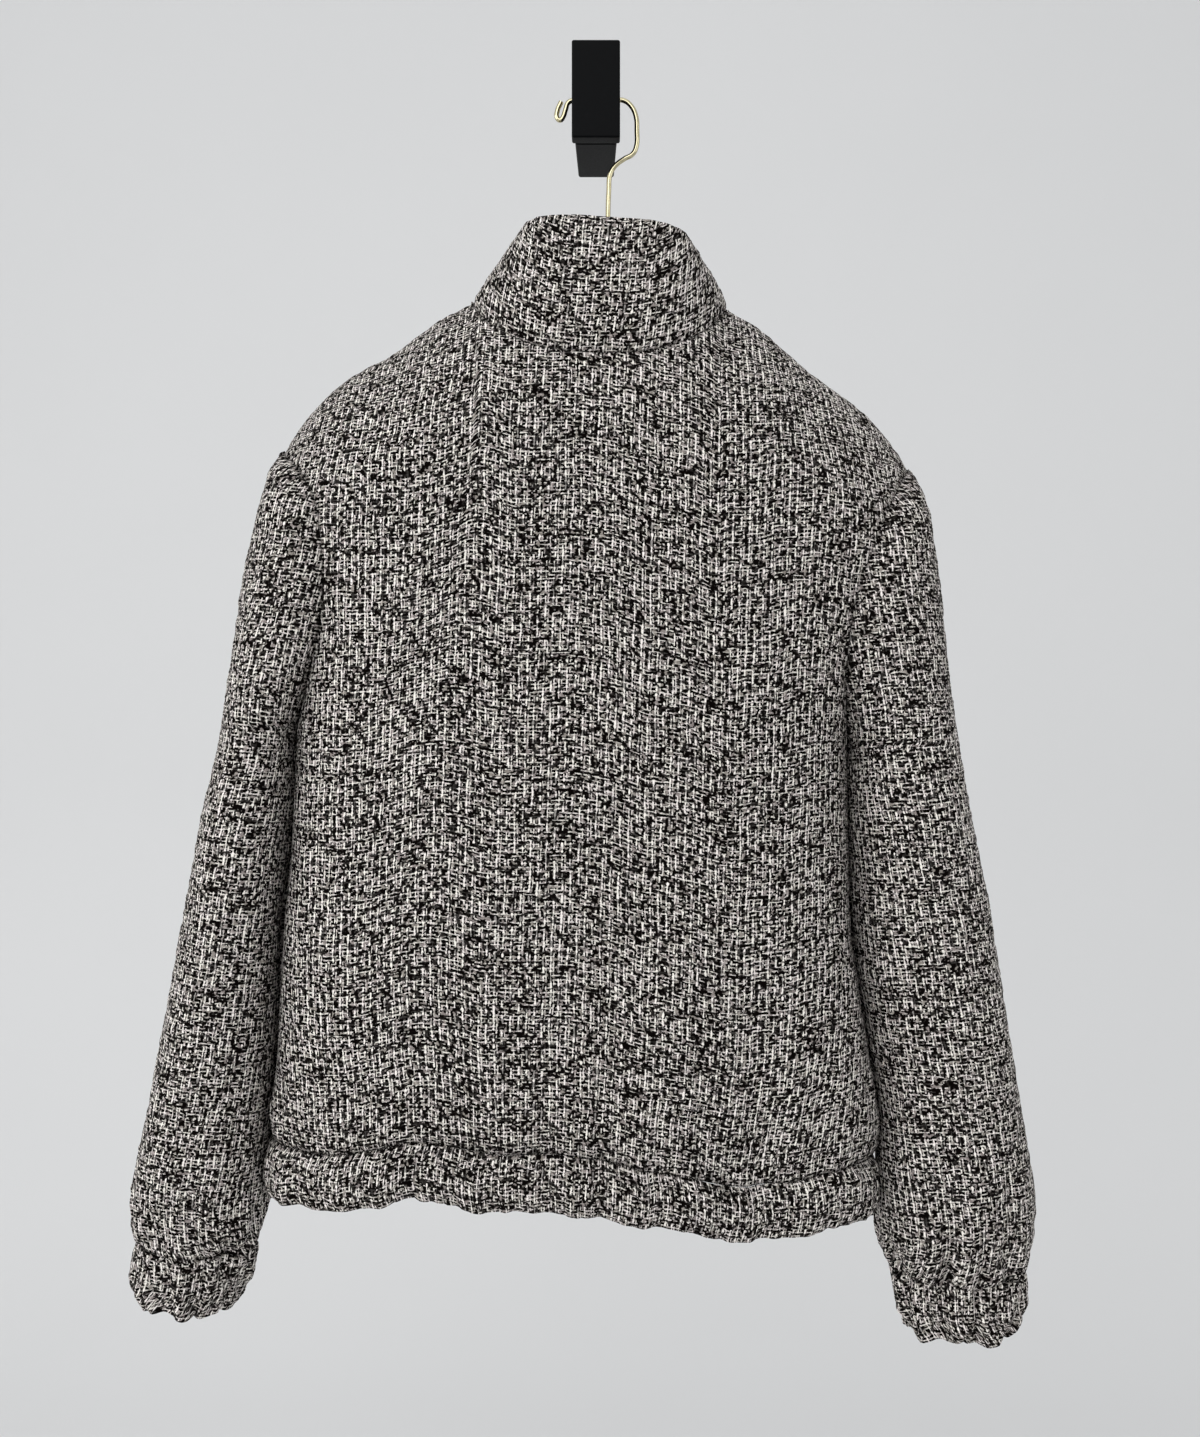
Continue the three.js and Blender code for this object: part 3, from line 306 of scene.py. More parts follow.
def noise(points, size, seed):
    """Smooth noise from -1 to 1 that varies over about size, which may differ along x, y and z."""
    scaled = points / np.asarray(size, float) + 512.0
    cell = np.floor(scaled).astype(np.int64)
    share = scaled - cell
    share = share * share * (3.0 - 2.0 * share)
    total = np.zeros(points.shape[:-1])
    for corner in np.ndindex(2, 2, 2):
        # Large primes scatter the corner's whole numbers evenly over 32 bits.
        x, y, z = np.moveaxis(cell + corner, -1, 0)
        mix = (x * 73856093) ^ (y * 19349663) ^ (z * 83492791) ^ (seed * 2654435761)
        mix = ((mix ^ (mix >> 13)) * 1274126177) & 0xFFFFFFFF
        mix = ((mix ^ (mix >> 15)) * 2246822519) & 0xFFFFFFFF
        total += np.abs(1 - np.array(corner) - share).prod(axis=-1) * (mix / 2**31 - 1.0)
    return total


def noises(points, layers):
    """Layers of noise on each other. Each has a height, a size and a seed."""
    return sum(height * noise(points, size, seed) for height, size, seed in layers)


def creases(points, size, seed, width=0.22):
    """1 along narrow upright valleys that lie about size apart, 0 between them."""
    half = size / 2
    field = noises(points, ((1.0, (size, size, size * 6), seed), (0.35, (half, half, size * 2), seed + 1)))
    return np.exp(-((field / width) ** 2))


def hang(points):
    """From the jacket's own frame in millimetres to the CAD frame in metres."""
    x, y, z = points[..., 0], points[..., 1], points[..., 2]
    c, s = math.cos(HANG_TILT), math.sin(HANG_TILT)
    hung = np.stack([x * c + z * s + HANG_PLACE[0], y + HANG_PLACE[1], z * c - x * s + HANG_PLACE[2]], axis=-1)
    return hung * 0.001


# ----------------------------------------------------------------------------------------------------------------
# The shape of the body, the sleeves, the collar and the bands


def even_share(face):
    """Shares of the way round half the body, and the shares of its half width that lie there."""
    depth = follow(DEPTHS, ARMPIT_Z)[face["depth"]]
    start = math.asin((face["edge"] / TYPICAL_HALF_WIDTH) ** (face["power"] / 2))
    angle = np.linspace(start, math.pi / 2, 800)
    x = TYPICAL_HALF_WIDTH * np.sin(angle) ** (2 / face["power"])
    y = depth * np.clip(np.cos(angle), 0, 1) ** (2 / face["power"])
    length = running(np.hypot(np.diff(x), np.diff(y)))
    return length / length[-1], (x - face["edge"]) / (TYPICAL_HALF_WIDTH - face["edge"])


def shoulder_z(x):
    return follow(SHOULDER_LINE, x)[0]


def body(face_name, side, column, side_z):
    """Points of the body. column is 0 at the centre line and 12 at the side; side_z is the row's height there."""
    face = FACES[face_name]
    column, side_z = np.broadcast_arrays(np.asarray(column, float), np.asarray(side_z, float))
    edge = face["edge"]
    neck_x = edge + (NECK_HALF_WIDTH - edge) * np.sin(math.pi * np.minimum(column, NECK_COLUMNS) / (2 * NECK_COLUMNS))
    neck_z = -face["drop"] * np.clip(1 - (neck_x / NECK_HALF_WIDTH) ** NECK_CURVE, 0, 1) ** NECK_FALL
    out_x = NECK_HALF_WIDTH + (TIP_X - NECK_HALF_WIDTH) * (column - NECK_COLUMNS) / (HALF_COLUMNS - NECK_COLUMNS)
    top_x = np.where(column < NECK_COLUMNS, neck_x, out_x)
    top_z = np.where(column < NECK_COLUMNS, neck_z, shoulder_z(np.maximum(out_x, NECK_HALF_WIDTH)))
    rise = np.clip((side_z - ARMPIT_Z) / (TIP_Z - ARMPIT_Z), 0, 1)
    hand = 0 if side < 0 else 1
    hole = follow(ARMHOLE, side_z)
    low = side_z <= ARMPIT_Z
    edge_x = np.where(low, follow(SIDES, side_z)[hand], hole[hand])
    seam_spread = np.where(low, 0.0, hole[2])
    low_share = np.interp(column / HALF_COLUMNS, *even_share(face))
    top_share = (top_x - edge) / (TIP_X - edge)
    share = low_share + (top_share - low_share) * smooth(rise, 0, 1)
    x = edge + (edge_x - edge) * share
    free = 1 - share**SIDE_FADE
    z = side_z + (top_z - TIP_Z) * rise**ROW_RISE
    if face_name == "back":
        up_share = (side_z - WAIST_Z) / (TIP_Z - WAIST_Z)
        waves = sum(high * bell(side * x, at, reach) for at, reach, high in WAIST_WAVES)
        z = z + waves * free * (1 - up_share) ** 3
    roundness = np.clip(1 - (x / (edge_x + seam_spread)) ** face["power"], 0, 1) ** (1 / face["power"])
    over_neck = NECK_RIDGE * (1 - (x / NECK_HALF_WIDTH) ** 2)
    ridge = np.where(x < NECK_HALF_WIDTH, over_neck, shoulder_z(np.maximum(x, NECK_HALF_WIDTH)))
    fallen = (1 - (1 - np.clip((ridge - z) / face["fall"], 0, 1)) ** SHOULDER_CURVE) ** SHOULDER_FALL
    depth = follow(DEPTHS, z)[face["depth"]] * roundness * fallen
    for at, reach, deep, top, bottom in FOLDS[face_name]:
        along = np.clip(1 - ((z - (top + bottom) / 2) / ((top - bottom) / 2)) ** 2, 0, 1)
        depth = depth - deep * along * bell(side * x, at, reach) * free
    return np.stack([side * x, face["sign"] * np.maximum(depth, 0), z], axis=-1)


def even_heights(face_name, side, cell):
    """Row heights at the side, from the waist to the shoulder, that give rows of about one cell."""
    coarse = np.linspace(WAIST_Z, TIP_Z, 1500)
    lengths = 0
    for column in (3.0, 7.0, 10.0):
        steps = np.linalg.norm(np.diff(body(face_name, side, column, coarse), axis=0), axis=-1)
        lengths = lengths + running(steps) / 3
    return spread(lengths, int(round(lengths[-1] / cell)), coarse)[0]


def body_halves(face_name, cell, girth):
    """The left and the right half of the back or the front, with columns from the centre line to the side."""
    heights = even_heights(face_name, -1, cell)[:, None]
    columns = np.linspace(0, HALF_COLUMNS, int(round(girth / cell)) + 1)[None, :]
    return [body(face_name, side, columns, heights) for side in (-1, 1)]


def cuff_ring(section, side, angle):
    """One ring of a cuff. Angle 0 is the outer side, and half a turn the inner side."""
    outer_x, outer_z, inner_x, inner_z, back, front = section
    out = (1 + signed_power(np.cos(angle), 2 / SLEEVE_POWER)) / 2
    across = signed_power(np.sin(angle), 2 / SLEEVE_POWER)
    depth = np.where(across > 0, back, front)
    return np.stack(
        [side * (inner_x + (outer_x - inner_x) * out), -across * depth, inner_z + (outer_z - inner_z) * out], axis=-1
    )


def sleeve_heights(side, outer, cell):
    """Row heights down a sleeve, even along its outer line and along the armhole's seam."""
    coarse = np.linspace(TIP_Z - 0.02, outer[-1][0], 2500)
    top = coarse > ARMPIT_Z
    line = np.stack([follow(outer, coarse)[0], coarse], axis=-1)
    steps = np.linalg.norm(np.diff(line, axis=0), axis=-1)
    seam = np.linalg.norm(np.diff(body("back", side, HALF_COLUMNS, coarse[top]), axis=0), axis=-1)
    steps[: len(seam)] = (steps[: len(seam)] + seam) / 2
    length = running(steps)
    return spread(length, int(round(length[-1] / cell)), coarse)[0]


def sleeve_halves(side, sections, z, x_out, x_in):
    """For the back and the front half of each row of a sleeve: the angle at which it meets the seam, its half width
    and its depth."""
    below = z <= ARMPIT_Z
    depths = [(section[1], *section[4:]) for section in sections if section[1] < ARMPIT_Z]
    for face_name, face in FACES.items():
        seam = body(face_name, side, HALF_COLUMNS, np.maximum(z, ARMPIT_Z))
        seam_x = np.where(below, x_in, np.abs(seam[:, 0]))
        seam_y = np.where(below, 0, np.abs(seam[:, 1]))
        level = float(np.abs(body(face_name, side, HALF_COLUMNS, SEAM_SHARE_END_Z)[1])) / SEAM_SHARE
        beside = follow(SHOULDER_DEPTHS[face_name] + ((SEAM_SHARE_END_Z, level),), z)[0]
        depth = np.where(below, follow(depths, z)[face["depth"]], beside)
        depth = np.where(z > SEAM_SHARE_END_Z, seam_y / SEAM_SHARE, depth)
        angle = math.pi - np.arcsin(np.clip(seam_y / np.maximum(depth, 1e-6), 0, 1) ** (SLEEVE_POWER / 2))
        half_width = (x_out - seam_x) / (1 + np.abs(np.cos(angle)) ** (2 / SLEEVE_POWER))
        yield angle, half_width, depth


def sleeve_points(side, sections, cell):
    """A sleeve as it is cut. Rows run from the shoulder tip to the cuff. The long edges lie on the armhole's seam
    down to the armpit, and meet each other below it. Gives the points and the row at the armpit."""
    hand = 0 if side < 0 else 1
    outer = [(TIP_Z, TIP_X)] + [(outer_z, outer_x) for outer_x, outer_z, *_ in sections]
    armpit = float(follow(ARMHOLE, ARMPIT_Z)[hand])
    inner = [(ARMPIT_Z, armpit)] + [(section[3], section[2]) for section in sections[3:]]
    z = sleeve_heights(side, outer, cell)
    end_drop = sections[-1][1] - sections[-1][3]
    z_in = z - end_drop * smooth(ARMPIT_Z - z, 0, ARMPIT_Z - z[-1])
    x_out, x_in = follow(outer, z)[0], follow(inner, z_in)[0]
    beside_body = z_in > SLEEVE_GAP_END_Z
    x_in = np.where(beside_body, np.minimum(x_in, follow(SIDES, z_in)[hand] + SLEEVE_GAP), x_in)
    back, front = sleeve_halves(side, sections, z, x_out, x_in)
    power = 2 / SLEEVE_POWER
    count = int(round(SLEEVE_GIRTH / cell))
    share = np.linspace(-1, 1, 401)
    points = np.zeros((len(z), count + 1, 3))
    for row in range(len(z)):
        angle, half_width, depth = (np.where(share > 0, b[row], f[row]) for b, f in zip(back, front))
        turn = share * angle
        x = x_out[row] - half_width + half_width * signed_power(np.cos(turn), power)
        y = -depth * signed_power(np.sin(turn), power)
        x, y = spread(running(np.hypot(np.diff(x), np.diff(y))), count, x, y)
        drop = (z_in[row] - z[row]) * (x_out[row] - x) / max(x_out[row] - x_in[row], 1e-6)
        points[row] = np.stack([side * x, y, z[row] + drop], axis=-1)
    return (points if side > 0 else points[:, ::-1]), int((z > ARMPIT_Z).sum())


def cuff_points(side, sections, cell):
    """A cuff: rows of about one cell on smooth curves through its rings."""
    angle = np.linspace(0, 2 * math.pi, 2000)
    length = running(np.linalg.norm(np.diff(cuff_ring(sections[1], side, angle), axis=0), axis=-1))
    turn = spread(length, int(round(CUFF_GIRTH / cell)), angle)[0][::side]
    rings = np.array([cuff_ring(section, side, turn) for section in sections])
    key = running(np.linalg.norm(np.diff(rings, axis=0), axis=-1).mean(axis=1))
    table = np.concatenate([key[:, None], rings.reshape(len(rings), -1)], axis=1)
    count = int(round(key[-1] / cell))
    flat = follow(table, np.linspace(0, key[-1], count + 1))
    return np.moveaxis(flat, 0, -1).reshape(count + 1, rings.shape[1], 3)


def round_the_body(columns, half):
    """Splits columns that go from the left front's edge round the back into faces, sides and columns of the body."""
    for start, face_name, side in ((0, "front", -1), (1, "back", -1), (2, "back", 1), (3, "front", 1)):
        inside = (columns >= start * half) & ((columns < (start + 1) * half) | (start == 3))
        at = np.where(start % 2 == 0, columns - start * half, (start + 1) * half - columns)
        yield inside, face_name, side, at[inside]


def collar_points(columns, heights):
    """The funnel collar. Columns run from 0 to 24 and heights from 0 to 1."""
    points = np.zeros((len(heights), len(columns), 3))
    top = COLLAR_TOP
    for inside, face_name, side, at in round_the_body(columns, NECK_COLUMNS):
        face = FACES[face_name]
        foot = body(face_name, side, at, TIP_Z)
        start = math.asin((face["edge"] / top["half_width"]) ** (top["power"] / 2))
        share = at / NECK_COLUMNS
        angle = start + (math.pi / 2 - start) * share
        x = side * top["half_width"] * np.sin(angle) ** (2 / top["power"])
        y = face["sign"] * top[face_name] * np.clip(np.cos(angle), 0, 1) ** (2 / top["power"])
        lean = top["lean"] * (share if face_name == "front" else 1)
        head = np.stack([x + lean, y, np.full_like(x, top["z"])], axis=-1)
        out = unit((foot + head) * (1, 1, 0))
        side_roll = COLLAR_SIDE_ROLL
        roll_share = side_roll * share if face_name == "front" else 1 - (1 - side_roll) * share**2
        h = heights[:, None, None]
        roll = COLLAR_ROLL * np.sin(math.pi * h ** (math.log(0.5) / math.log(COLLAR_ROLL_AT)))
        points[:, inside] = foot + (head - foot) * h + out * roll * roll_share[None, :, None]
    return points


def waistband_points(columns, drops):
    """The waistband. Columns run from 0 to 48, and drops are measured down from the seam."""
    points = np.zeros((len(drops), len(columns), 3))
    out = follow(WAISTBAND, drops)[0]
    for inside, face_name, side, at in round_the_body(columns, HALF_COLUMNS):
        seam = body(face_name, side, at, WAIST_Z)
        away = unit(seam * (1, 1.4, 0))  # more towards the back and the front than towards the sides
        if face_name == "front":
            away = away * np.clip(at, 0, 1)[:, None] + np.array((0, 1, 0)) * (1 - np.clip(at, 0, 1))[:, None]
        points[:, inside] = seam + away * out[:, None, None] - np.array((0, 0, 1)) * drops[:, None, None]
    return points


# ----------------------------------------------------------------------------------------------------------------
# Panels: fine grids of points on the cloth's outer face


class Panel:
    """One cut piece. points has rows, columns and coordinates; a ring's last column repeats its first."""

    def __init__(self, name, points, ring=False, closed_from=None, upright=False, **sewn):
        self.name, self.points, self.ring, self.upright = name, points, ring, upright
        self.closed_from = 0 if ring else closed_from  # from this row on, the long edges meet
        # How strongly the edges pull in: first row, last row, first column, last column
        self.pulls = sewn.get("pulls", (0, 0, 0, 0))
        self.zipped = sewn.get("zipped", (False, False))  # whether the first and the last column lie on the zip
        self.gathered = sewn.get("gathered", (0, 0))  # how far from the first and the last row the cloth is gathered
        self.full = sewn.get("full", 1.0)  # how deep the gathers are
        # At the seams, normals become the directions that neighbours share. normals_at_rest stay the panel's own.
        self.normals = self.find_normals()
        self.normals_at_rest = self.normals.copy()

    def find_normals(self):
        """The outward direction at each point."""
        across = np.gradient(self.points, axis=1)
        if self.closed_from is not None:
            rows = slice(self.closed_from, None)
            across[rows, 0] = across[rows, -1] = (self.points[rows, 1] - self.points[rows, -2]) / 2
        return unit(np.cross(across, np.gradient(self.points, axis=0)))

    def edge_distances(self):
        """Distances from the first row, the last row, the first column and the last column."""
        up = np.linalg.norm(np.diff(self.points, axis=0), axis=-1)
        along = np.linalg.norm(np.diff(self.points, axis=1), axis=-1)
        first_row, first_column = running(up), running(along, 1)
        return first_row, first_row[-1] - first_row, first_column, first_column[:, -1:] - first_column

    def edge(self):
        """Row and column numbers of the points on seams and free edges."""
        rows, columns = self.points.shape[:2]
        places = [(row, column) for row in (0, rows - 1) for column in range(columns)]
        if not self.ring:
            places += [(row, column) for column in (0, columns - 1) for row in range(1, rows - 1)]
        return np.array(places)

    def weave(self):
        """Where each point lies on the flat cloth, in millimetres: along the weft and along the warp."""
        normals = self.normals_at_rest
        closed = self.closed_from is not None
        if closed or self.upright:
            # The warp runs along the sleeve, and upright in the collar and the waistband.
            grain = np.array((0.0, 0.0, 1.0))
            if closed:
                grain = self.points[0].mean(axis=0) - self.points[-1].mean(axis=0)
            warp = np.broadcast_to(unit(grain), normals.shape)
            weft = np.cross(warp, unit(normals * (1, 1, 0)))
        else:
            # The warp hangs straight down, and goes straight over the shoulders.
            hanging = np.array((0.0, 0.0, 1.0)) - normals * normals[..., 2:3]
            level = np.cross(normals, (1.0, 0.0, 0.0)) * np.where(normals[..., 1:2] < 0, 1, -1)
            share = smooth(normals[..., 2:3], 0.15, 0.45)
            warp = unit(hanging * (1 - share) + level * share)
            weft = np.cross(warp, normals)
        along = (np.diff(self.points, axis=1) * (weft[:, 1:] + weft[:, :-1]) / 2).sum(axis=-1)
        up = (np.diff(self.points, axis=0) * (warp[1:] + warp[:-1]) / 2).sum(axis=-1)
        u, v = running(along, 1), running(up)
        for reach, distance in zip(self.gathered, self.edge_distances()):
            if reach:
                # Gathered cloth holds more yarns than its width shows.
                u = u * (1 + 0.08 * np.exp(-((distance / (1.5 * reach)) ** 2)))
        middle = u.shape[1] // 2
        if closed:
            v = (self.points * warp).sum(axis=-1)
        elif self.upright:
            v = self.edge_distances()[0]
            if any(self.gathered):
                # A band's yarns stay square to its edges.
                u = np.broadcast_to(u.mean(axis=0), u.shape)
        return u - u[:, middle : middle + 1], v

    def relief(self, sizes):
        """How far each point stands out of the plain shape."""
        distances = self.edge_distances()
        p = self.points
        height = noises(p, UNEVENNESS) + sizes.knobs * 1000 * noises(p, KNOBS)
        calm = 1.0
        for zipped, distance in zip(self.zipped, distances[2:]):
            if zipped:
                calm = calm * smooth(distance, *ZIP_CALM)
        deep = sizes.gathers * 1000 * self.full * calm
        for reach, distance in zip(self.gathered, distances):
            if reach:
                # Close creases, less their mean depth. The body's cloth also blouses over them.
                close = creases(p, 22, 11, 0.3) * 0.9 + creases(p, 11, 13) * 0.4 - 0.35
                height -= deep * np.exp(-((distance / reach) ** 2)) * close
                if self.closed_from is None:
                    height += 1.2 * calm * bell(distance, 0.42 * reach, 0.34 * reach)
            if reach > 40:
                # Wider creases that run further up
                height -= deep * np.exp(-((distance / (2.2 * reach)) ** 2)) * (creases(p, 34, 15, 0.3) - 0.3)
        pulls = (self.pulls[0] * calm, self.pulls[1] * calm, *self.pulls[2:])
        for pull, distance in zip(pulls, distances):
            if np.any(pull):
                height -= pull * sizes.seam * 1000 * np.exp(-((distance / SEAM_REACH) ** SEAM_EDGE))
        return height


def settle(points):
    """Small changes to the hang of all the cloth at once: a higher left shoulder, a collar that drops to the
    wearer's right, and waves and lifts along the hem."""
    x, z = points[..., 0], points[..., 2]
    lift, slope = SHOULDER_LIFT, COLLAR_SLOPE
    moved = points.copy()
    moved[..., 2] += lift["rise"] * bell(x, lift["x"], lift["reach"]) * smooth(z, lift["from"], lift["to"])
    moved[..., 2] -= slope["slope"] * x * smooth(z, slope["from"], slope["to"])
    moved[..., 2] += smooth(-z, *HEM_WAVES_DOWN) * noises(points, HEM_WAVES)
    moved[..., 2] += smooth(-z, *HEM_LIFTS_DOWN) * sum(rise * bell(x, at, reach) for at, reach, rise in HEM_LIFTS)
    return moved


def cut_panels(cell):
    """All the panels, with directions at the seams that neighbours share."""
    panels = {}

    def add(name, points, **facts):
        panels[name] = Panel(name, settle(points), **facts)

    left, right = body_halves("back", cell * 1.06, BACK_HALF_GIRTH)
    whole = np.concatenate([left[:, ::-1], right[:, 1:]], axis=1)
    add("back", whole, pulls=(1.6, 0.6, 0.7, 0.7), gathered=(46, 0))
    left, right = body_halves("front", cell * 1.25, FRONT_HALF_GIRTH)
    add("front_left", left, pulls=(1.6, 0.6, 0.5, 0.7), zipped=(True, False), gathered=(46, 0))
    add("front_right", right[:, ::-1], pulls=(1.6, 0.6, 0.7, 0.5), zipped=(False, True), gathered=(46, 0))

    for side, word, sleeve, cuff in ((-1, "left", LEFT_SLEEVE, LEFT_CUFF), (1, "right", RIGHT_SLEEVE, RIGHT_CUFF)):
        points, armpit = sleeve_points(side, sleeve, cell)
        add(f"sleeve_{word}", points, closed_from=armpit, pulls=(0, 0.2, 0.7, 0.7), gathered=(0, 42), full=2.4)
        points = cuff_points(side, cuff, cell * 0.85)
        add(f"cuff_{word}", points, ring=True, pulls=(0.2, 0.2, 0, 0), gathered=(36, 36), full=2.4)

    fine = cell * 0.9
    bands = {"upright": True, "zipped": (True, True)}
    columns = np.linspace(0, 4 * NECK_COLUMNS, int(round(COLLAR_GIRTH / fine)) + 1)
    heights = np.linspace(0, 1, int(round(COLLAR_HEIGHT / fine)) + 1)
    add("collar", collar_points(columns, heights), pulls=(0.6, 0.4, 0.5, 0.5), **bands)
    columns = np.linspace(0, 4 * HALF_COLUMNS, int(round(BAND_GIRTH / fine)) + 1)
    drops = np.linspace(BAND_DROP, 0, int(round(BAND_LENGTH / fine)) + 1)
    points = waistband_points(columns, drops)
    add("waistband", points, pulls=(0.5, 1.2, 0.5, 0.5), gathered=(30, 30), full=1.3, **bands)
    share_directions(panels.values())
    return panels


def share_directions(panels):
    """Makes panels that meet at a seam stand out and pull in along the same directions there."""
    places = [(panel, row, column) for panel in panels for row, column in panel.edge()]
    normals = np.array([panel.normals_at_rest[row, column] for panel, row, column in places])
    tree = kdtree.KDTree(len(places))
    for index, (panel, row, column) in enumerate(places):
        tree.insert(panel.points[row, column], index)
    tree.balance()
    for panel, row, column in places:
        near = {}
        for _, index, distance in tree.find_range(panel.points[row, column], NEIGHBOUR_REACH):
            owner = places[index][0].name
            if owner not in near or distance < near[owner][0]:
                near[owner] = (distance, index)
        panel.normals[row, column] = unit(sum(normals[index] for _, index in near.values()))


# ----------------------------------------------------------------------------------------------------------------
# Meshes


def mesh_of(bm, name):
    """The mesh of a finished bmesh."""
    mesh = bpy.data.meshes.new(name)
    bm.to_mesh(mesh)
    bm.free()
    return mesh


def shape_of(mesh):
    """The places of a mesh's vertices."""
    flat = np.empty(len(mesh.vertices) * 3)
    mesh.vertices.foreach_get("co", flat)
    return flat.reshape(-1, 3)


def add_piece(mesh, material, node):
    """Adds a piece that stands for a CAD node. It takes its finish from a material and moves with the jacket."""
    mesh.polygons.foreach_set("use_smooth", [True] * len(mesh.polygons))
    mesh.materials.append(material)
    piece = bpy.data.objects.new(mesh.name, mesh)
    bpy.context.scene.collection.objects.link(piece)
    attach(piece, "jacket")
    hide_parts(node)
    return piece


def thicken(piece, thickness):
    """Gives a sheet its wall, inwards from its outer face."""
    wall = piece.modifiers.new("wall", "SOLIDIFY")
    wall.thickness = thickness
    wall.offset = -1


def grid_mesh(name, points, weave):
    """A grid moved to rows and columns of points, with the weave as its UV map in metres."""
    rows, columns = points.shape[:2]
    bm = bmesh.new()
    bmesh.ops.create_grid(bm, x_segments=columns - 1, y_segments=rows - 1, size=0.5)
    mesh = mesh_of(bm, name)
    plain = shape_of(mesh) + 0.5
    column = np.rint(plain[:, 0] * (columns - 1)).astype(int)
    row = np.rint(plain[:, 1] * (rows - 1)).astype(int)
    mesh.vertices.foreach_set("co", points[row, column].ravel())
    corners = np.empty(len(mesh.loops), dtype=np.int32)
    mesh.loops.foreach_get("vertex_index", corners)
    uv = np.stack(weave, axis=-1)[row, column] * 0.001
    layer = mesh.uv_layers.new(name="weave")
    layer.data.foreach_set("uv", uv[corners].ravel())
    mesh.update()
    return mesh


def panel_piece(panel, sizes, material):
    """A panel as a closed piece of cloth that replaces its CAD node."""
    shaped = panel.points + panel.normals * panel.relief(sizes)[..., None]
    if panel.closed_from is not None:
        shaped[panel.closed_from :, -1] = shaped[panel.closed_from :, 0]
    mesh = grid_mesh(f"{panel.name}_cloth", hang(shaped), panel.weave())
    if panel.closed_from is not None:
        bm = bmesh.new()
        bm.from_mesh(mesh)
        bmesh.ops.remove_doubles(bm, verts=bm.verts, dist=1e-6)
        bm.to_mesh(mesh)
        bm.free()
    piece = add_piece(mesh, material, panel.name)
    thicken(piece, sizes.collar_cloth if panel.name == "collar" else sizes.cloth)


def wire_mesh(name, line):
    """A round wire on a smooth line through points, in the CAD frame."""
    curve = bpy.data.curves.new(name, "CURVE")
    curve.dimensions = "3D"
    curve.resolution_u = 8
    curve.bevel_depth = WIRE_RADIUS * 0.001
    curve.bevel_resolution = 4
    curve.use_fill_caps = True
    spline = curve.splines.new("BEZIER")
    spline.bezier_points.add(len(line) - 1)
    for point, place in zip(spline.bezier_points, hang(np.array(line, float))):
        point.co = place
        point.handle_left_type = point.handle_right_type = "AUTO"
    carrier = bpy.data.objects.new(name, curve)
    mesh = bpy.data.meshes.new_from_object(carrier)
    bpy.data.objects.remove(carrier)
    bpy.data.curves.remove(curve)
    mesh.name = name
    return mesh


# ----------------------------------------------------------------------------------------------------------------
# Materials


class Recipe:
    """A material whose shader nodes are added one by one, from the pattern's coordinates to the surface."""

    def __init__(self, name):
        self.material = bpy.data.materials.new(name)
        self.material.use_nodes = True
        self.tree = self.material.node_tree
        self.tree.nodes.clear()

    def node(self, kind, inputs=(), **settings):
        node = self.tree.nodes.new(kind)
        for name, value in settings.items():
            setattr(node, name, value)
        for socket, value in dict(inputs).items():
            if isinstance(value, bpy.types.NodeSocket):
                self.tree.links.new(value, node.inputs[socket])
            else:
                node.inputs[socket].default_value = value
        return node

    def math(self, operation, first, second=0.0, third=0.0, clamp=False):
        inputs = {0: first, 1: second, 2: third}
        return self.node("ShaderNodeMath", inputs, operation=operation, use_clamp=clamp).outputs[0]

    def vector(self, operation, first, second=(0, 0, 0), scale=1.0):
        inputs = {0: first, "Scale": scale} if operation == "SCALE" else {0: first, 1: second}
        return self.node("ShaderNodeVectorMath", inputs, operation=operation).outputs[0]

    def combine(self, x=0.0, y=0.0, z=0.0):
        return self.node("ShaderNodeCombineXYZ", {0: x, 1: y, 2: z}).outputs[0]

    def separate(self, vector):
        return self.node("ShaderNodeSeparateXYZ", {0: vector}).outputs

    def noise(self, vector, scale=1.0, detail=0.0, roughness=0.5, flat=False):
        """Cloudy noise round 0.5. A flat one leaves z out."""
        inputs = {"Vector": vector, "Scale": scale, "Detail": detail, "Roughness": roughness}
        return self.node("ShaderNodeTexNoise", inputs, noise_dimensions="2D" if flat else "3D").outputs

    def step(self, value, start, end, low=0.0, high=1.0):
        """An even curve from low to high as value goes from start to end."""
        inputs = {"Value": value, "From Min": start, "From Max": end, "To Min": low, "To Max": high}
        return self.node("ShaderNodeMapRange", inputs, interpolation_type="SMOOTHSTEP").outputs[0]

    def mix(self, share, first, second, blend="MIX"):
        node = self.node("ShaderNodeMix", data_type="RGBA", blend_type=blend)
        for socket, value in ((0, share), (6, first), (7, second)):
            if isinstance(value, bpy.types.NodeSocket):
                self.tree.links.new(value, node.inputs[socket])
            else:
                node.inputs[socket].default_value = value if socket == 0 else (*value, 1.0)[:4]
        return node.outputs[2]

    def flat_cloth(self):
        """Places on the flat cloth, in millimetres."""
        return self.vector("SCALE", self.node("ShaderNodeUVMap", uv_map="weave").outputs[0], scale=1000.0)

    def surface(self, inputs):
        shader = self.node("ShaderNodeBsdfPrincipled", inputs)
        self.node("ShaderNodeOutputMaterial", {"Surface": shader.outputs[0]})
        return self.material


def darker(colour, share):
    return tuple(part * share for part in colour)


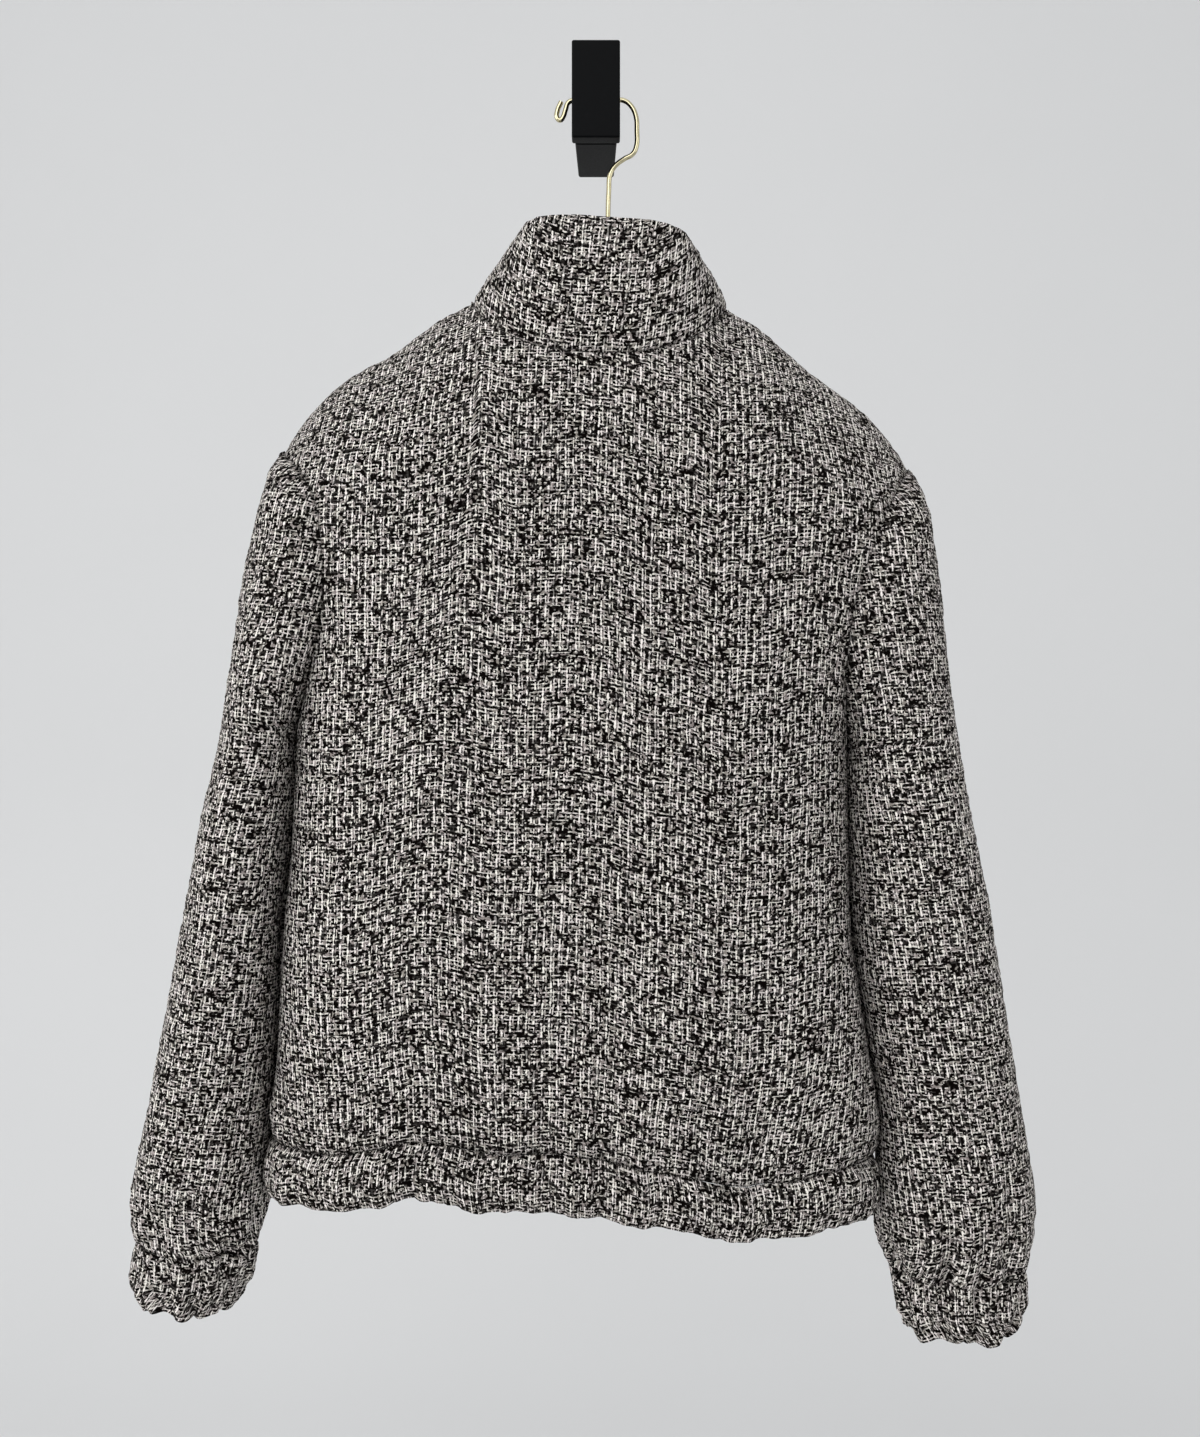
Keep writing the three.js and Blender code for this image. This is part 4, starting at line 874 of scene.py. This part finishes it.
def yarns(recipe, across, along, pitch, half_width, run, start, seed, lift):
    """One set of parallel yarns that come up to the surface in strokes. run is a stroke's length, start sets how rare
    strokes are, and lift makes more of them. Gives how much of a yarn is at a place, and the yarn's number."""
    number = recipe.math("DIVIDE", across, pitch)
    yarn = recipe.math("FLOOR", number)
    middle = recipe.math("SUBTRACT", recipe.math("FRACT", number), 0.5)
    distance = recipe.math("MULTIPLY", recipe.math("ABSOLUTE", middle), pitch)

    def varied(apart, length):
        """Noise along each yarn, which a yarn doesn't share with the next."""
        place = recipe.combine(recipe.math("MULTIPLY_ADD", yarn, apart, seed), recipe.math("DIVIDE", along, length))
        return recipe.noise(place, flat=True)[0]

    up = recipe.step(recipe.math("ADD", varied(5.37, run), lift), start - 0.04, start + 0.04)
    width = recipe.step(varied(3.11, 1.7), 0.25, 0.75, half_width * 0.5, half_width * 1.5)
    inside = recipe.math("SUBTRACT", 1.0, recipe.math("DIVIDE", distance, width), clamp=True)
    return recipe.math("MULTIPLY", up, inside), yarn


def tweed(sizes, colours):
    """Bouclé tweed: thick broken ivory yarns over a finer weft and a black ground, with soft grey slubs."""
    recipe = Recipe("boucle_tweed")
    flat = recipe.flat_cloth()

    def wander(scale, reach):
        shift = recipe.vector("SUBTRACT", recipe.noise(flat, scale, flat=True)[1], (0.5, 0.5, 0.5))
        return recipe.vector("SCALE", shift, scale=reach)

    # The yarns swerve over long, middling and short ways.
    bent = flat
    for size, reach in ((24, 1.6), (5.0, 0.75), (1.4, 0.4)):
        bent = recipe.vector("ADD", bent, wander(1 / size, reach))
    u, v, _ = recipe.separate(bent)
    # Some patches have more of the light yarn on top than others.
    place = recipe.combine(recipe.math("DIVIDE", u, 24.0), recipe.math("DIVIDE", v, 8.0))
    patches = recipe.math("MULTIPLY_ADD", recipe.noise(place, flat=True)[0], 0.36, -0.18)
    pitch = sizes.yarn * 1000
    beside = recipe.math("ADD", u, pitch * 1.28)
    thick, thick_yarn = yarns(recipe, u, v, pitch * 2, half_width=0.64, run=4.6, start=0.44, seed=2.0, lift=patches)
    thin, _ = yarns(recipe, beside, v, pitch * 2, half_width=0.5, run=4.3, start=0.45, seed=9.0, lift=patches)
    weft, weft_yarn = yarns(recipe, v, u, pitch * 0.96, half_width=0.47, run=3.4, start=0.42, seed=21.0, lift=patches)
    # The weft passes over and under the thick yarns in turn.
    parity = recipe.math("MODULO", recipe.math("ADD", thick_yarn, weft_yarn), 2.0)
    over = recipe.step(recipe.math("ABSOLUTE", parity), 0.3, 0.7, 0.6, 1.0)
    thick_face = recipe.step(recipe.math("MULTIPLY", thick, over), 0.06, 0.32)
    weft_face = recipe.step(weft, 0.08, 0.4)
    thin_face = recipe.step(thin, 0.08, 0.4)
    slub = recipe.step(recipe.noise(flat, 1 / 2.6, 1.0, flat=True)[0], 0.545, 0.62)
    dashes = recipe.combine(recipe.math("MULTIPLY_ADD", u, 1 / 5.2, 31.0), recipe.math("DIVIDE", v, 3.2))
    dark = recipe.step(recipe.noise(dashes, 1.0, 1.0, flat=True)[0], 0.54, 0.6)
    hair = recipe.noise(flat, 2.3, 1.0, 0.7, flat=True)[0]
    blush = recipe.step(recipe.noise(recipe.vector("ADD", flat, (7.0, 3.0, 0.0)), 1 / 8.0, flat=True)[0], 0.35, 0.65)
    tint = recipe.mix(blush, (1.0, 0.985, 0.93), (1.0, 0.945, 0.95))
    ivory = recipe.mix(0.6, tuple(colours.ivory), tint, "MULTIPLY")
    ivory = recipe.mix(recipe.step(hair, 0.25, 0.6, 0.3, 0.0), ivory, darker(colours.ivory, 0.4))
    grey = recipe.mix(recipe.step(hair, 0.3, 0.7), darker(colours.grey, 0.5), tuple(colours.grey))
    grey = recipe.mix(1.0, grey, tint, "MULTIPLY")
    black = tuple(colours.black)
    colour = recipe.mix(recipe.step(hair, 0.5, 0.85, 0.0, 0.12), black, darker(colours.grey, 0.15))
    thick_share = recipe.math("MULTIPLY", thick_face, recipe.math("MULTIPLY_ADD", dark, -0.7, 1.0))
    # From the ground up: the thin yarns, the weft, the slubs, the dark gaps and the thick yarns
    for share, yarn in (
        (recipe.math("MULTIPLY", thin_face, 0.9), recipe.mix(0.75, grey, ivory)),
        (recipe.math("MULTIPLY", weft_face, 0.9), recipe.mix(0.25, ivory, grey)),
        (recipe.math("MULTIPLY", slub, 0.8), grey),
        (recipe.math("MULTIPLY", dark, 0.94), black),
        (thick_share, ivory),
    ):
        colour = recipe.mix(share, colour, yarn)
    height = recipe.math("MULTIPLY_ADD", weft_face, 0.6, thick_face)
    height = recipe.math("MULTIPLY_ADD", slub, 0.5, height)
    bump = recipe.node("ShaderNodeBump", {"Strength": 0.8, "Distance": 0.0006, "Height": height})
    return recipe.surface(
        {"Base Color": colour, "Roughness": 0.95, "Specular IOR Level": 0.03, "Normal": bump.outputs[0]}
    )


def zip_cloth(colours):
    """The zip's tape: fine black herringbone."""
    recipe = Recipe("woven_tape")
    u, v, _ = recipe.separate(recipe.flat_cloth())
    zigzag = recipe.math("PINGPONG", u, 1.3)
    ribs = recipe.math("SINE", recipe.math("MULTIPLY", recipe.math("ADD", v, zigzag), 8.4))
    rib = recipe.step(ribs, -0.6, 0.9)
    colour = recipe.mix(rib, (0.006, 0.006, 0.007), (0.03, 0.03, 0.033))
    bump = recipe.node("ShaderNodeBump", {"Strength": 0.5, "Distance": 0.0002, "Height": rib})
    return recipe.surface({"Base Color": colour, "Roughness": 0.85, "Normal": bump.outputs[0]})


def polished_gold(name, colours, wear):
    """Pale gold plating with faint wear, from thin wire to the zip's parts."""
    recipe = Recipe(name)
    place = recipe.node("ShaderNodeTexCoord").outputs["Object"]
    patches = recipe.noise(place, 180.0, 3.0, 0.6)[0]
    scratches = recipe.noise(recipe.vector("MULTIPLY", place, (900.0, 900.0, 90.0)), 1.0, 2.0)[0]
    dull = recipe.step(patches, 0.45, 0.7)
    gold = tuple(colours.gold)
    worn = tuple(part * share for part, share in zip(gold, (0.74, 0.7, 0.6)))
    colour = recipe.mix(recipe.math("MULTIPLY", dull, 0.45), gold, worn)
    roughness = recipe.math("MULTIPLY_ADD", scratches, wear, 0.1)
    roughness = recipe.math("MULTIPLY_ADD", dull, 0.08, roughness)
    bump = recipe.node("ShaderNodeBump", {"Strength": 0.08, "Distance": 0.0002, "Height": scratches})
    return recipe.surface({"Base Color": colour, "Metallic": 1.0, "Roughness": roughness, "Normal": bump.outputs[0]})


def satin_paint(colours):
    """The wall hook's black powder coat, with a fine grain."""
    recipe = Recipe("black_powder_coat")
    place = recipe.node("ShaderNodeTexCoord").outputs["Object"]
    grain = recipe.noise(place, 2600.0, 2.0, 0.6)[0]
    dust = recipe.noise(place, 420.0, 4.0, 0.7)[0]
    dark = tuple(colours.hook)
    colour = recipe.mix(recipe.step(dust, 0.62, 0.8, 0.0, 0.35), dark, tuple(part + 0.02 for part in dark))
    roughness = recipe.step(grain, 0.3, 0.7, 0.42, 0.58)
    bump = recipe.node("ShaderNodeBump", {"Strength": 0.12, "Distance": 0.0001, "Height": grain})
    return recipe.surface(
        {"Base Color": colour, "Roughness": roughness, "Specular IOR Level": 0.06, "Normal": bump.outputs[0]}
    )


def studio_paint(tone):
    """The pale paint of the floor and the backdrop."""
    recipe = Recipe("studio")
    place = recipe.node("ShaderNodeTexCoord").outputs["Object"]
    cloudy = recipe.noise(place, 1.5, 2.0)[0]
    colour = recipe.mix(recipe.step(cloudy, 0.2, 0.8), darker(tone, 0.985), tuple(tone))
    return recipe.surface({"Base Color": colour, "Roughness": 0.9, "Specular IOR Level": 0.1})


def shared(name, make, *arguments):
    """A material by its name, made the first time that it is asked for."""
    return bpy.data.materials.get(name) or make(*arguments)


CUTS = {}


def panels(scene):
    """The panels, cut once for each size of cell."""
    cell = scene.jacket_sizes.cell * 1000
    if cell not in CUTS:
        CUTS[cell] = cut_panels(cell)
    return CUTS[cell]


def sew(scene, *names):
    """Makes pieces of tweed from their panels."""
    cloth = shared("boucle_tweed", tweed, scene.jacket_sizes, scene.jacket_colours)
    for name in names:
        panel_piece(panels(scene)[name], scene.jacket_sizes, cloth)


# ----------------------------------------------------------------------------------------------------------------
# Operators


class JACKET_OT_body(bpy.types.Operator):
    """Makes the back and the two fronts"""

    bl_idname = "jacket.body"
    bl_label = "Back and Fronts"

    def execute(self, context):
        sew(context.scene, "back", "front_left", "front_right")
        return {"FINISHED"}


class JACKET_OT_sleeves(bpy.types.Operator):
    """Makes the sleeves and their gathered cuffs"""

    bl_idname = "jacket.sleeves"
    bl_label = "Sleeves and Cuffs"

    def execute(self, context):
        sew(context.scene, "sleeve_left", "sleeve_right", "cuff_left", "cuff_right")
        return {"FINISHED"}


class JACKET_OT_collar(bpy.types.Operator):
    """Makes the funnel collar"""

    bl_idname = "jacket.collar"
    bl_label = "Collar"

    def execute(self, context):
        sew(context.scene, "collar")
        return {"FINISHED"}


class JACKET_OT_waistband(bpy.types.Operator):
    """Makes the gathered waistband"""

    bl_idname = "jacket.waistband"
    bl_label = "Waistband"

    def execute(self, context):
        sew(context.scene, "waistband")
        return {"FINISHED"}


class JACKET_OT_zip(bpy.types.Operator):
    """Makes the zip: its tapes and teeth, and the finish of its slider, pull tab and box"""

    bl_idname = "jacket.zip"
    bl_label = "Zip"

    def execute(self, context):
        scene = context.scene
        woven = shared("woven_tape", zip_cloth, scene.jacket_colours)
        metal = shared("zip_gold", polished_gold, "zip_gold", scene.jacket_colours, 0.22)
        line = self.line(panels(scene))
        for side, word in ((-1, "left"), (1, "right")):
            self.tape(line, side, f"zip_tape_{word}", woven)
        self.teeth(line, metal)
        for name in ("zip_slider", "zip_pull", "zip_box"):
            node = bpy.data.objects[name]
            node.data.materials.clear()
            node.data.materials.append(metal)
            weld = node.modifiers.new("weld", "WELD")
            weld.merge_threshold = 0.00001
            rounded = node.modifiers.new("rounded", "BEVEL")
            rounded.width, rounded.segments, rounded.limit_method = 0.00035, 2, "ANGLE"
            rounded.angle_limit = math.radians(35)
            node.modifiers.new("normals", "WEIGHTED_NORMAL")
        return {"FINISHED"}

    @staticmethod
    def line(cut):
        """Points, upward and outward directions up the middle of the front, from the hem to the collar's top."""
        band, front, collar = (cut[name].points[:, 0] for name in ("waistband", "front_left", "collar"))
        path = np.concatenate([band[:-1], front[:-1], collar]) * (0, 1, 1)
        length = running(np.linalg.norm(np.diff(path, axis=0), axis=-1))
        path = np.stack(spread(length, int(length[-1] / (TOOTH_PITCH / 2)), *path.T), axis=-1)
        # The directions are a mean over nine points, so that the teeth stand evenly.
        slope = np.gradient(path, axis=0)
        padded = [np.pad(slope[:, axis], 4, "edge") for axis in range(3)]
        slope = np.stack([np.convolve(values, np.ones(9) / 9, "valid") for values in padded], axis=-1)
        slope = unit(slope)
        out = np.stack([np.zeros(len(path)), slope[:, 2], -slope[:, 1]], axis=-1)
        return path, slope, out

    @staticmethod
    def tape(line, side, node, material):
        """One woven tape behind the cloth's edge."""
        path, _, out = (part[::2] for part in line)
        # Seen from the front, the columns run from the wearer's right to the left.
        across = (side * np.linspace(TAPE_INNER, TAPE_REACH, 9))[::-side]
        points = path[:, None] - out[:, None] * TAPE_DEPTH + np.array((1.0, 0, 0)) * across[None, :, None]
        weave = np.meshgrid(across, np.linspace(0, len(path) * TOOTH_PITCH, len(path)))
        piece = add_piece(grid_mesh(f"{node}_cloth", hang(points), weave), material, node)
        thicken(piece, TAPE_THICKNESS * 0.001)

    def teeth(self, line, material):
        """Two rows of metal teeth that mesh, from the box to the slider."""
        path = line[0]
        keep = (path[:, 2] > path[0, 2] + BOX_LENGTH) & (path[:, 2] < SLIDER_Z - SLIDER_BELOW)
        tooth = self.tooth()
        shape = shape_of(tooth)
        bm = bmesh.new()
        rows = []
        for number, (place, up, out) in enumerate(zip(*(part[keep] for part in line))):
            bm.from_mesh(tooth)
            # The right row is the left row turned half a turn about the outward direction.
            side = -1 if number % 2 else 1
            middle = place - out * (TEETH_DEPTH + 0.1)
            rows.append(middle + side * shape[:, :1] * (1, 0, 0) + shape[:, 1:2] * out + side * shape[:, 2:] * up)
        mesh = mesh_of(bm, "zip_teeth_rows")
        mesh.vertices.foreach_set("co", hang(np.concatenate(rows)).ravel())
        bpy.data.meshes.remove(tooth)
        add_piece(mesh, material, "zip_teeth")
        mesh.polygons.foreach_set("use_smooth", [False] * len(mesh.polygons))

    @staticmethod
    def tooth():
        """One tooth in millimetres: a body that grips the tape and a narrower head that meshes."""
        bm = bmesh.new()
        for size, place, bevel in (((3.1, 2.0, 1.35), 1.1, 0.35), ((1.5, 1.2, 0.9), -0.5, 0.2)):
            matrix = Matrix.Translation((place, 0, 0)) @ Matrix.Diagonal((*size, 1))
            made = bmesh.ops.create_cube(bm, size=1.0, matrix=matrix)
            edges = list({edge for vert in made["verts"] for edge in vert.link_edges})
            bmesh.ops.bevel(bm, geom=edges, offset=bevel, segments=1, profile=0.5, affect="EDGES", material=-1)
        return mesh_of(bm, "tooth")


class JACKET_OT_hanger(bpy.types.Operator):
    """Makes the wire hanger: its frame inside the shoulders, its hook and the sleeve that joins them"""

    bl_idname = "jacket.hanger"
    bl_label = "Wire Hanger"

    def execute(self, context):
        scene = context.scene
        metal = shared("hanger_gold", polished_gold, "hanger_gold", scene.jacket_colours, 0.1)
        top = (HOOK_TOP_Z - HANG_PLACE[2]) / math.cos(HANG_TILT)
        line = [(x, 0, top + x * math.tan(HANG_TILT) if z is None else z) for x, z in HOOK_LINE]
        loop = self.frame_line(1) + [(x, 0, FRAME_BAR_Z) for x in (100, 0, -100)] + self.frame_line(-1)[::-1]
        for mesh, node in (
            (wire_mesh("hanger_hook_wire", line), "hanger_hook"),
            (self.ferrule(), "hanger_hook"),
            (wire_mesh("hanger_frame_wire", loop), "hanger_frame"),
        ):
            add_piece(mesh, metal, node)
        return {"FINISHED"}

    @staticmethod
    def ferrule():
        """The crimped sleeve on the neck of the hanger, with rounded ends."""
        bm = bmesh.new()
        bmesh.ops.create_cone(
            bm, cap_ends=True, segments=32, radius1=FERRULE_RADIUS, radius2=FERRULE_RADIUS, depth=FERRULE_LENGTH,
            matrix=Matrix.Translation((FRAME_APEX[0] * 0.001, 0, FERRULE_MIDDLE)),
        )
        ends = [edge for edge in bm.edges if abs(edge.verts[0].co.z - edge.verts[1].co.z) < 1e-6]
        bmesh.ops.bevel(bm, geom=ends, offset=0.0009, segments=3, profile=0.5, affect="EDGES", material=-1)
        for vert in bm.verts:
            vert.co = hang(np.array(vert.co) * 1000)
        return mesh_of(bm, "hanger_ferrule")

    @staticmethod
    def frame_line(side):
        """One arm of the frame, from the ferrule out under the shoulder seam and round the corner to the bar."""
        points = [(FRAME_APEX[0] + side * 0.5, 0, FRAME_APEX[1]), (side * FRAME_BEND[0], 0, FRAME_BEND[1])]
        for x in np.arange(NECK_HALF_WIDTH - 8, FRAME_REACH + 1, FRAME_STEP):
            at = max(x, NECK_HALF_WIDTH)
            start, end = max(at - 4, NECK_HALF_WIDTH), at + 4
            tilt = math.atan((shoulder_z(end) - shoulder_z(start)) / (end - start))
            down = FRAME_UNDER * math.cos(tilt)
            points.append((side * (x + FRAME_UNDER * math.sin(tilt)), 0, float(shoulder_z(at)) - down))
        return points + [(side * FRAME_CORNER[0], 0, FRAME_CORNER[1]), (side * (FRAME_CORNER[0] - 12), 0, FRAME_BAR_Z)]


class JACKET_OT_wall_hook(bpy.types.Operator):
    """Makes the wall hook: an arm out of the wall and an upright plate at its end"""

    bl_idname = "jacket.wall_hook"
    bl_label = "Wall Hook"

    def execute(self, context):
        scene = context.scene
        paint = shared("black_powder_coat", satin_paint, scene.jacket_colours)
        for node, bevel in (("wall_hook_arm", 0.0016), ("wall_hook_plate", 0.0014)):
            low, high = (Vector(corner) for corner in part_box(node))
            bm = bmesh.new()
            place, size = (low + high) / 2, high - low
            bmesh.ops.create_cube(bm, size=1.0, matrix=Matrix.Translation(place) @ Matrix.Diagonal((*size, 1.0)))
            if node == "wall_hook_arm":
                back = [vert for vert in bm.verts if vert.co.y > place.y]
                bmesh.ops.scale(bm, vec=(HOOK_ARM_TAPER, 1, 1), verts=back)
            edges = list(bm.edges)
            bmesh.ops.bevel(bm, geom=edges, offset=bevel, segments=4, profile=0.5, affect="EDGES", material=-1)
            piece = add_piece(mesh_of(bm, f"{node}_painted"), paint, node)
            piece.modifiers.new("edges", "WEIGHTED_NORMAL")
        return {"FINISHED"}


class JACKET_OT_stage(bpy.types.Operator):
    """Makes the studio: floor, backdrop, lights and camera"""

    bl_idname = "jacket.stage"
    bl_label = "Studio"

    def execute(self, context):
        scene = context.scene
        stage = scene.jacket_stage
        reach = SWEEP_REACH
        bm = bmesh.new()
        bmesh.ops.create_grid(bm, x_segments=1, y_segments=1, size=reach)
        bmesh.ops.translate(bm, vec=(0, stage.backdrop_y - reach, stage.floor_z), verts=bm.verts)
        back = [edge for edge in bm.edges if all(vert.co.y > stage.backdrop_y - 0.01 for vert in edge.verts)]
        raised = bmesh.ops.extrude_edge_only(bm, edges=back)["geom"]
        wall = [item for item in raised if isinstance(item, bmesh.types.BMVert)]
        bmesh.ops.translate(bm, vec=(0, 0, reach), verts=wall)
        bmesh.ops.bevel(bm, geom=back, offset=SWEEP_BEND, segments=16, profile=0.5, affect="EDGES", material=-1)
        bmesh.ops.recalc_face_normals(bm, faces=bm.faces)
        mesh = mesh_of(bm, "studio_sweep")
        mesh.polygons.foreach_set("use_smooth", [True] * len(mesh.polygons))
        mesh.materials.append(studio_paint(stage.tone))
        sweep = bpy.data.objects.new("studio_sweep", mesh)
        scene.collection.objects.link(sweep)
        for name, place, target, size, share in LAMPS:
            self.light(scene, name, place, target, size, stage.light * share)

        world = bpy.data.worlds.new("room")
        world.use_nodes = True
        background = world.node_tree.nodes["Background"]
        background.inputs[0].default_value = ROOM_COLOUR
        background.inputs[1].default_value = stage.fill
        scene.world = world
        scene.view_settings.view_transform = "Standard"
        scene.view_settings.look = "None"

        data = bpy.data.cameras.new("camera")
        data.sensor_width = CAMERA_SENSOR
        data.lens = CAMERA_LENS
        data.clip_start, data.clip_end = 0.02, 50.0
        camera = bpy.data.objects.new("camera", data)
        camera.location = CAMERA_PLACE
        camera.rotation_euler = (math.pi / 2, 0, 0)
        scene.collection.objects.link(camera)
        scene.camera = camera
        return {"FINISHED"}

    @staticmethod
    def light(scene, name, place, target, size, power):
        """A round soft light that faces its target."""
        data = bpy.data.lights.new(name, "AREA")
        data.shape = "DISK"
        data.size = size
        data.energy = power
        lamp = bpy.data.objects.new(name, data)
        lamp.location = place
        lamp.rotation_euler = (Vector(target) - Vector(place)).to_track_quat("-Z", "Y").to_euler()
        scene.collection.objects.link(lamp)


class JACKET_PT_panel(bpy.types.Panel):
    """The jacket's sizes, colours and pieces"""

    bl_label = "Bomber Jacket"
    bl_idname = "JACKET_PT_panel"
    bl_space_type = "VIEW_3D"
    bl_region_type = "UI"
    bl_category = "Jacket"

    def draw(self, context):
        scene = context.scene
        for title, group in (
            ("Sizes", scene.jacket_sizes),
            ("Colours", scene.jacket_colours),
            ("Studio", scene.jacket_stage),
        ):
            box = self.layout.box()
            box.label(text=title)
            for name in group.__annotations__:
                box.prop(group, name)
        for operator in OPERATORS:
            self.layout.operator(operator.bl_idname)


OPERATORS = (
    JACKET_OT_body,
    JACKET_OT_sleeves,
    JACKET_OT_collar,
    JACKET_OT_waistband,
    JACKET_OT_zip,
    JACKET_OT_hanger,
    JACKET_OT_wall_hook,
    JACKET_OT_stage,
)
CLASSES = (JacketSizes, JacketColours, JacketStage, *OPERATORS, JACKET_PT_panel)


def register():
    for each in CLASSES:
        bpy.utils.register_class(each)
    bpy.types.Scene.jacket_sizes = PointerProperty(type=JacketSizes)
    bpy.types.Scene.jacket_colours = PointerProperty(type=JacketColours)
    bpy.types.Scene.jacket_stage = PointerProperty(type=JacketStage)


def unregister():
    del bpy.types.Scene.jacket_stage
    del bpy.types.Scene.jacket_colours
    del bpy.types.Scene.jacket_sizes
    for each in reversed(CLASSES):
        bpy.utils.unregister_class(each)


def main():
    """Builds everything."""
    register()
    bpy.ops.jacket.body()
    bpy.ops.jacket.sleeves()
    bpy.ops.jacket.collar()
    bpy.ops.jacket.waistband()
    bpy.ops.jacket.zip()
    bpy.ops.jacket.hanger()
    bpy.ops.jacket.wall_hook()
    bpy.ops.jacket.stage()


if __name__ == "__main__":
    main()
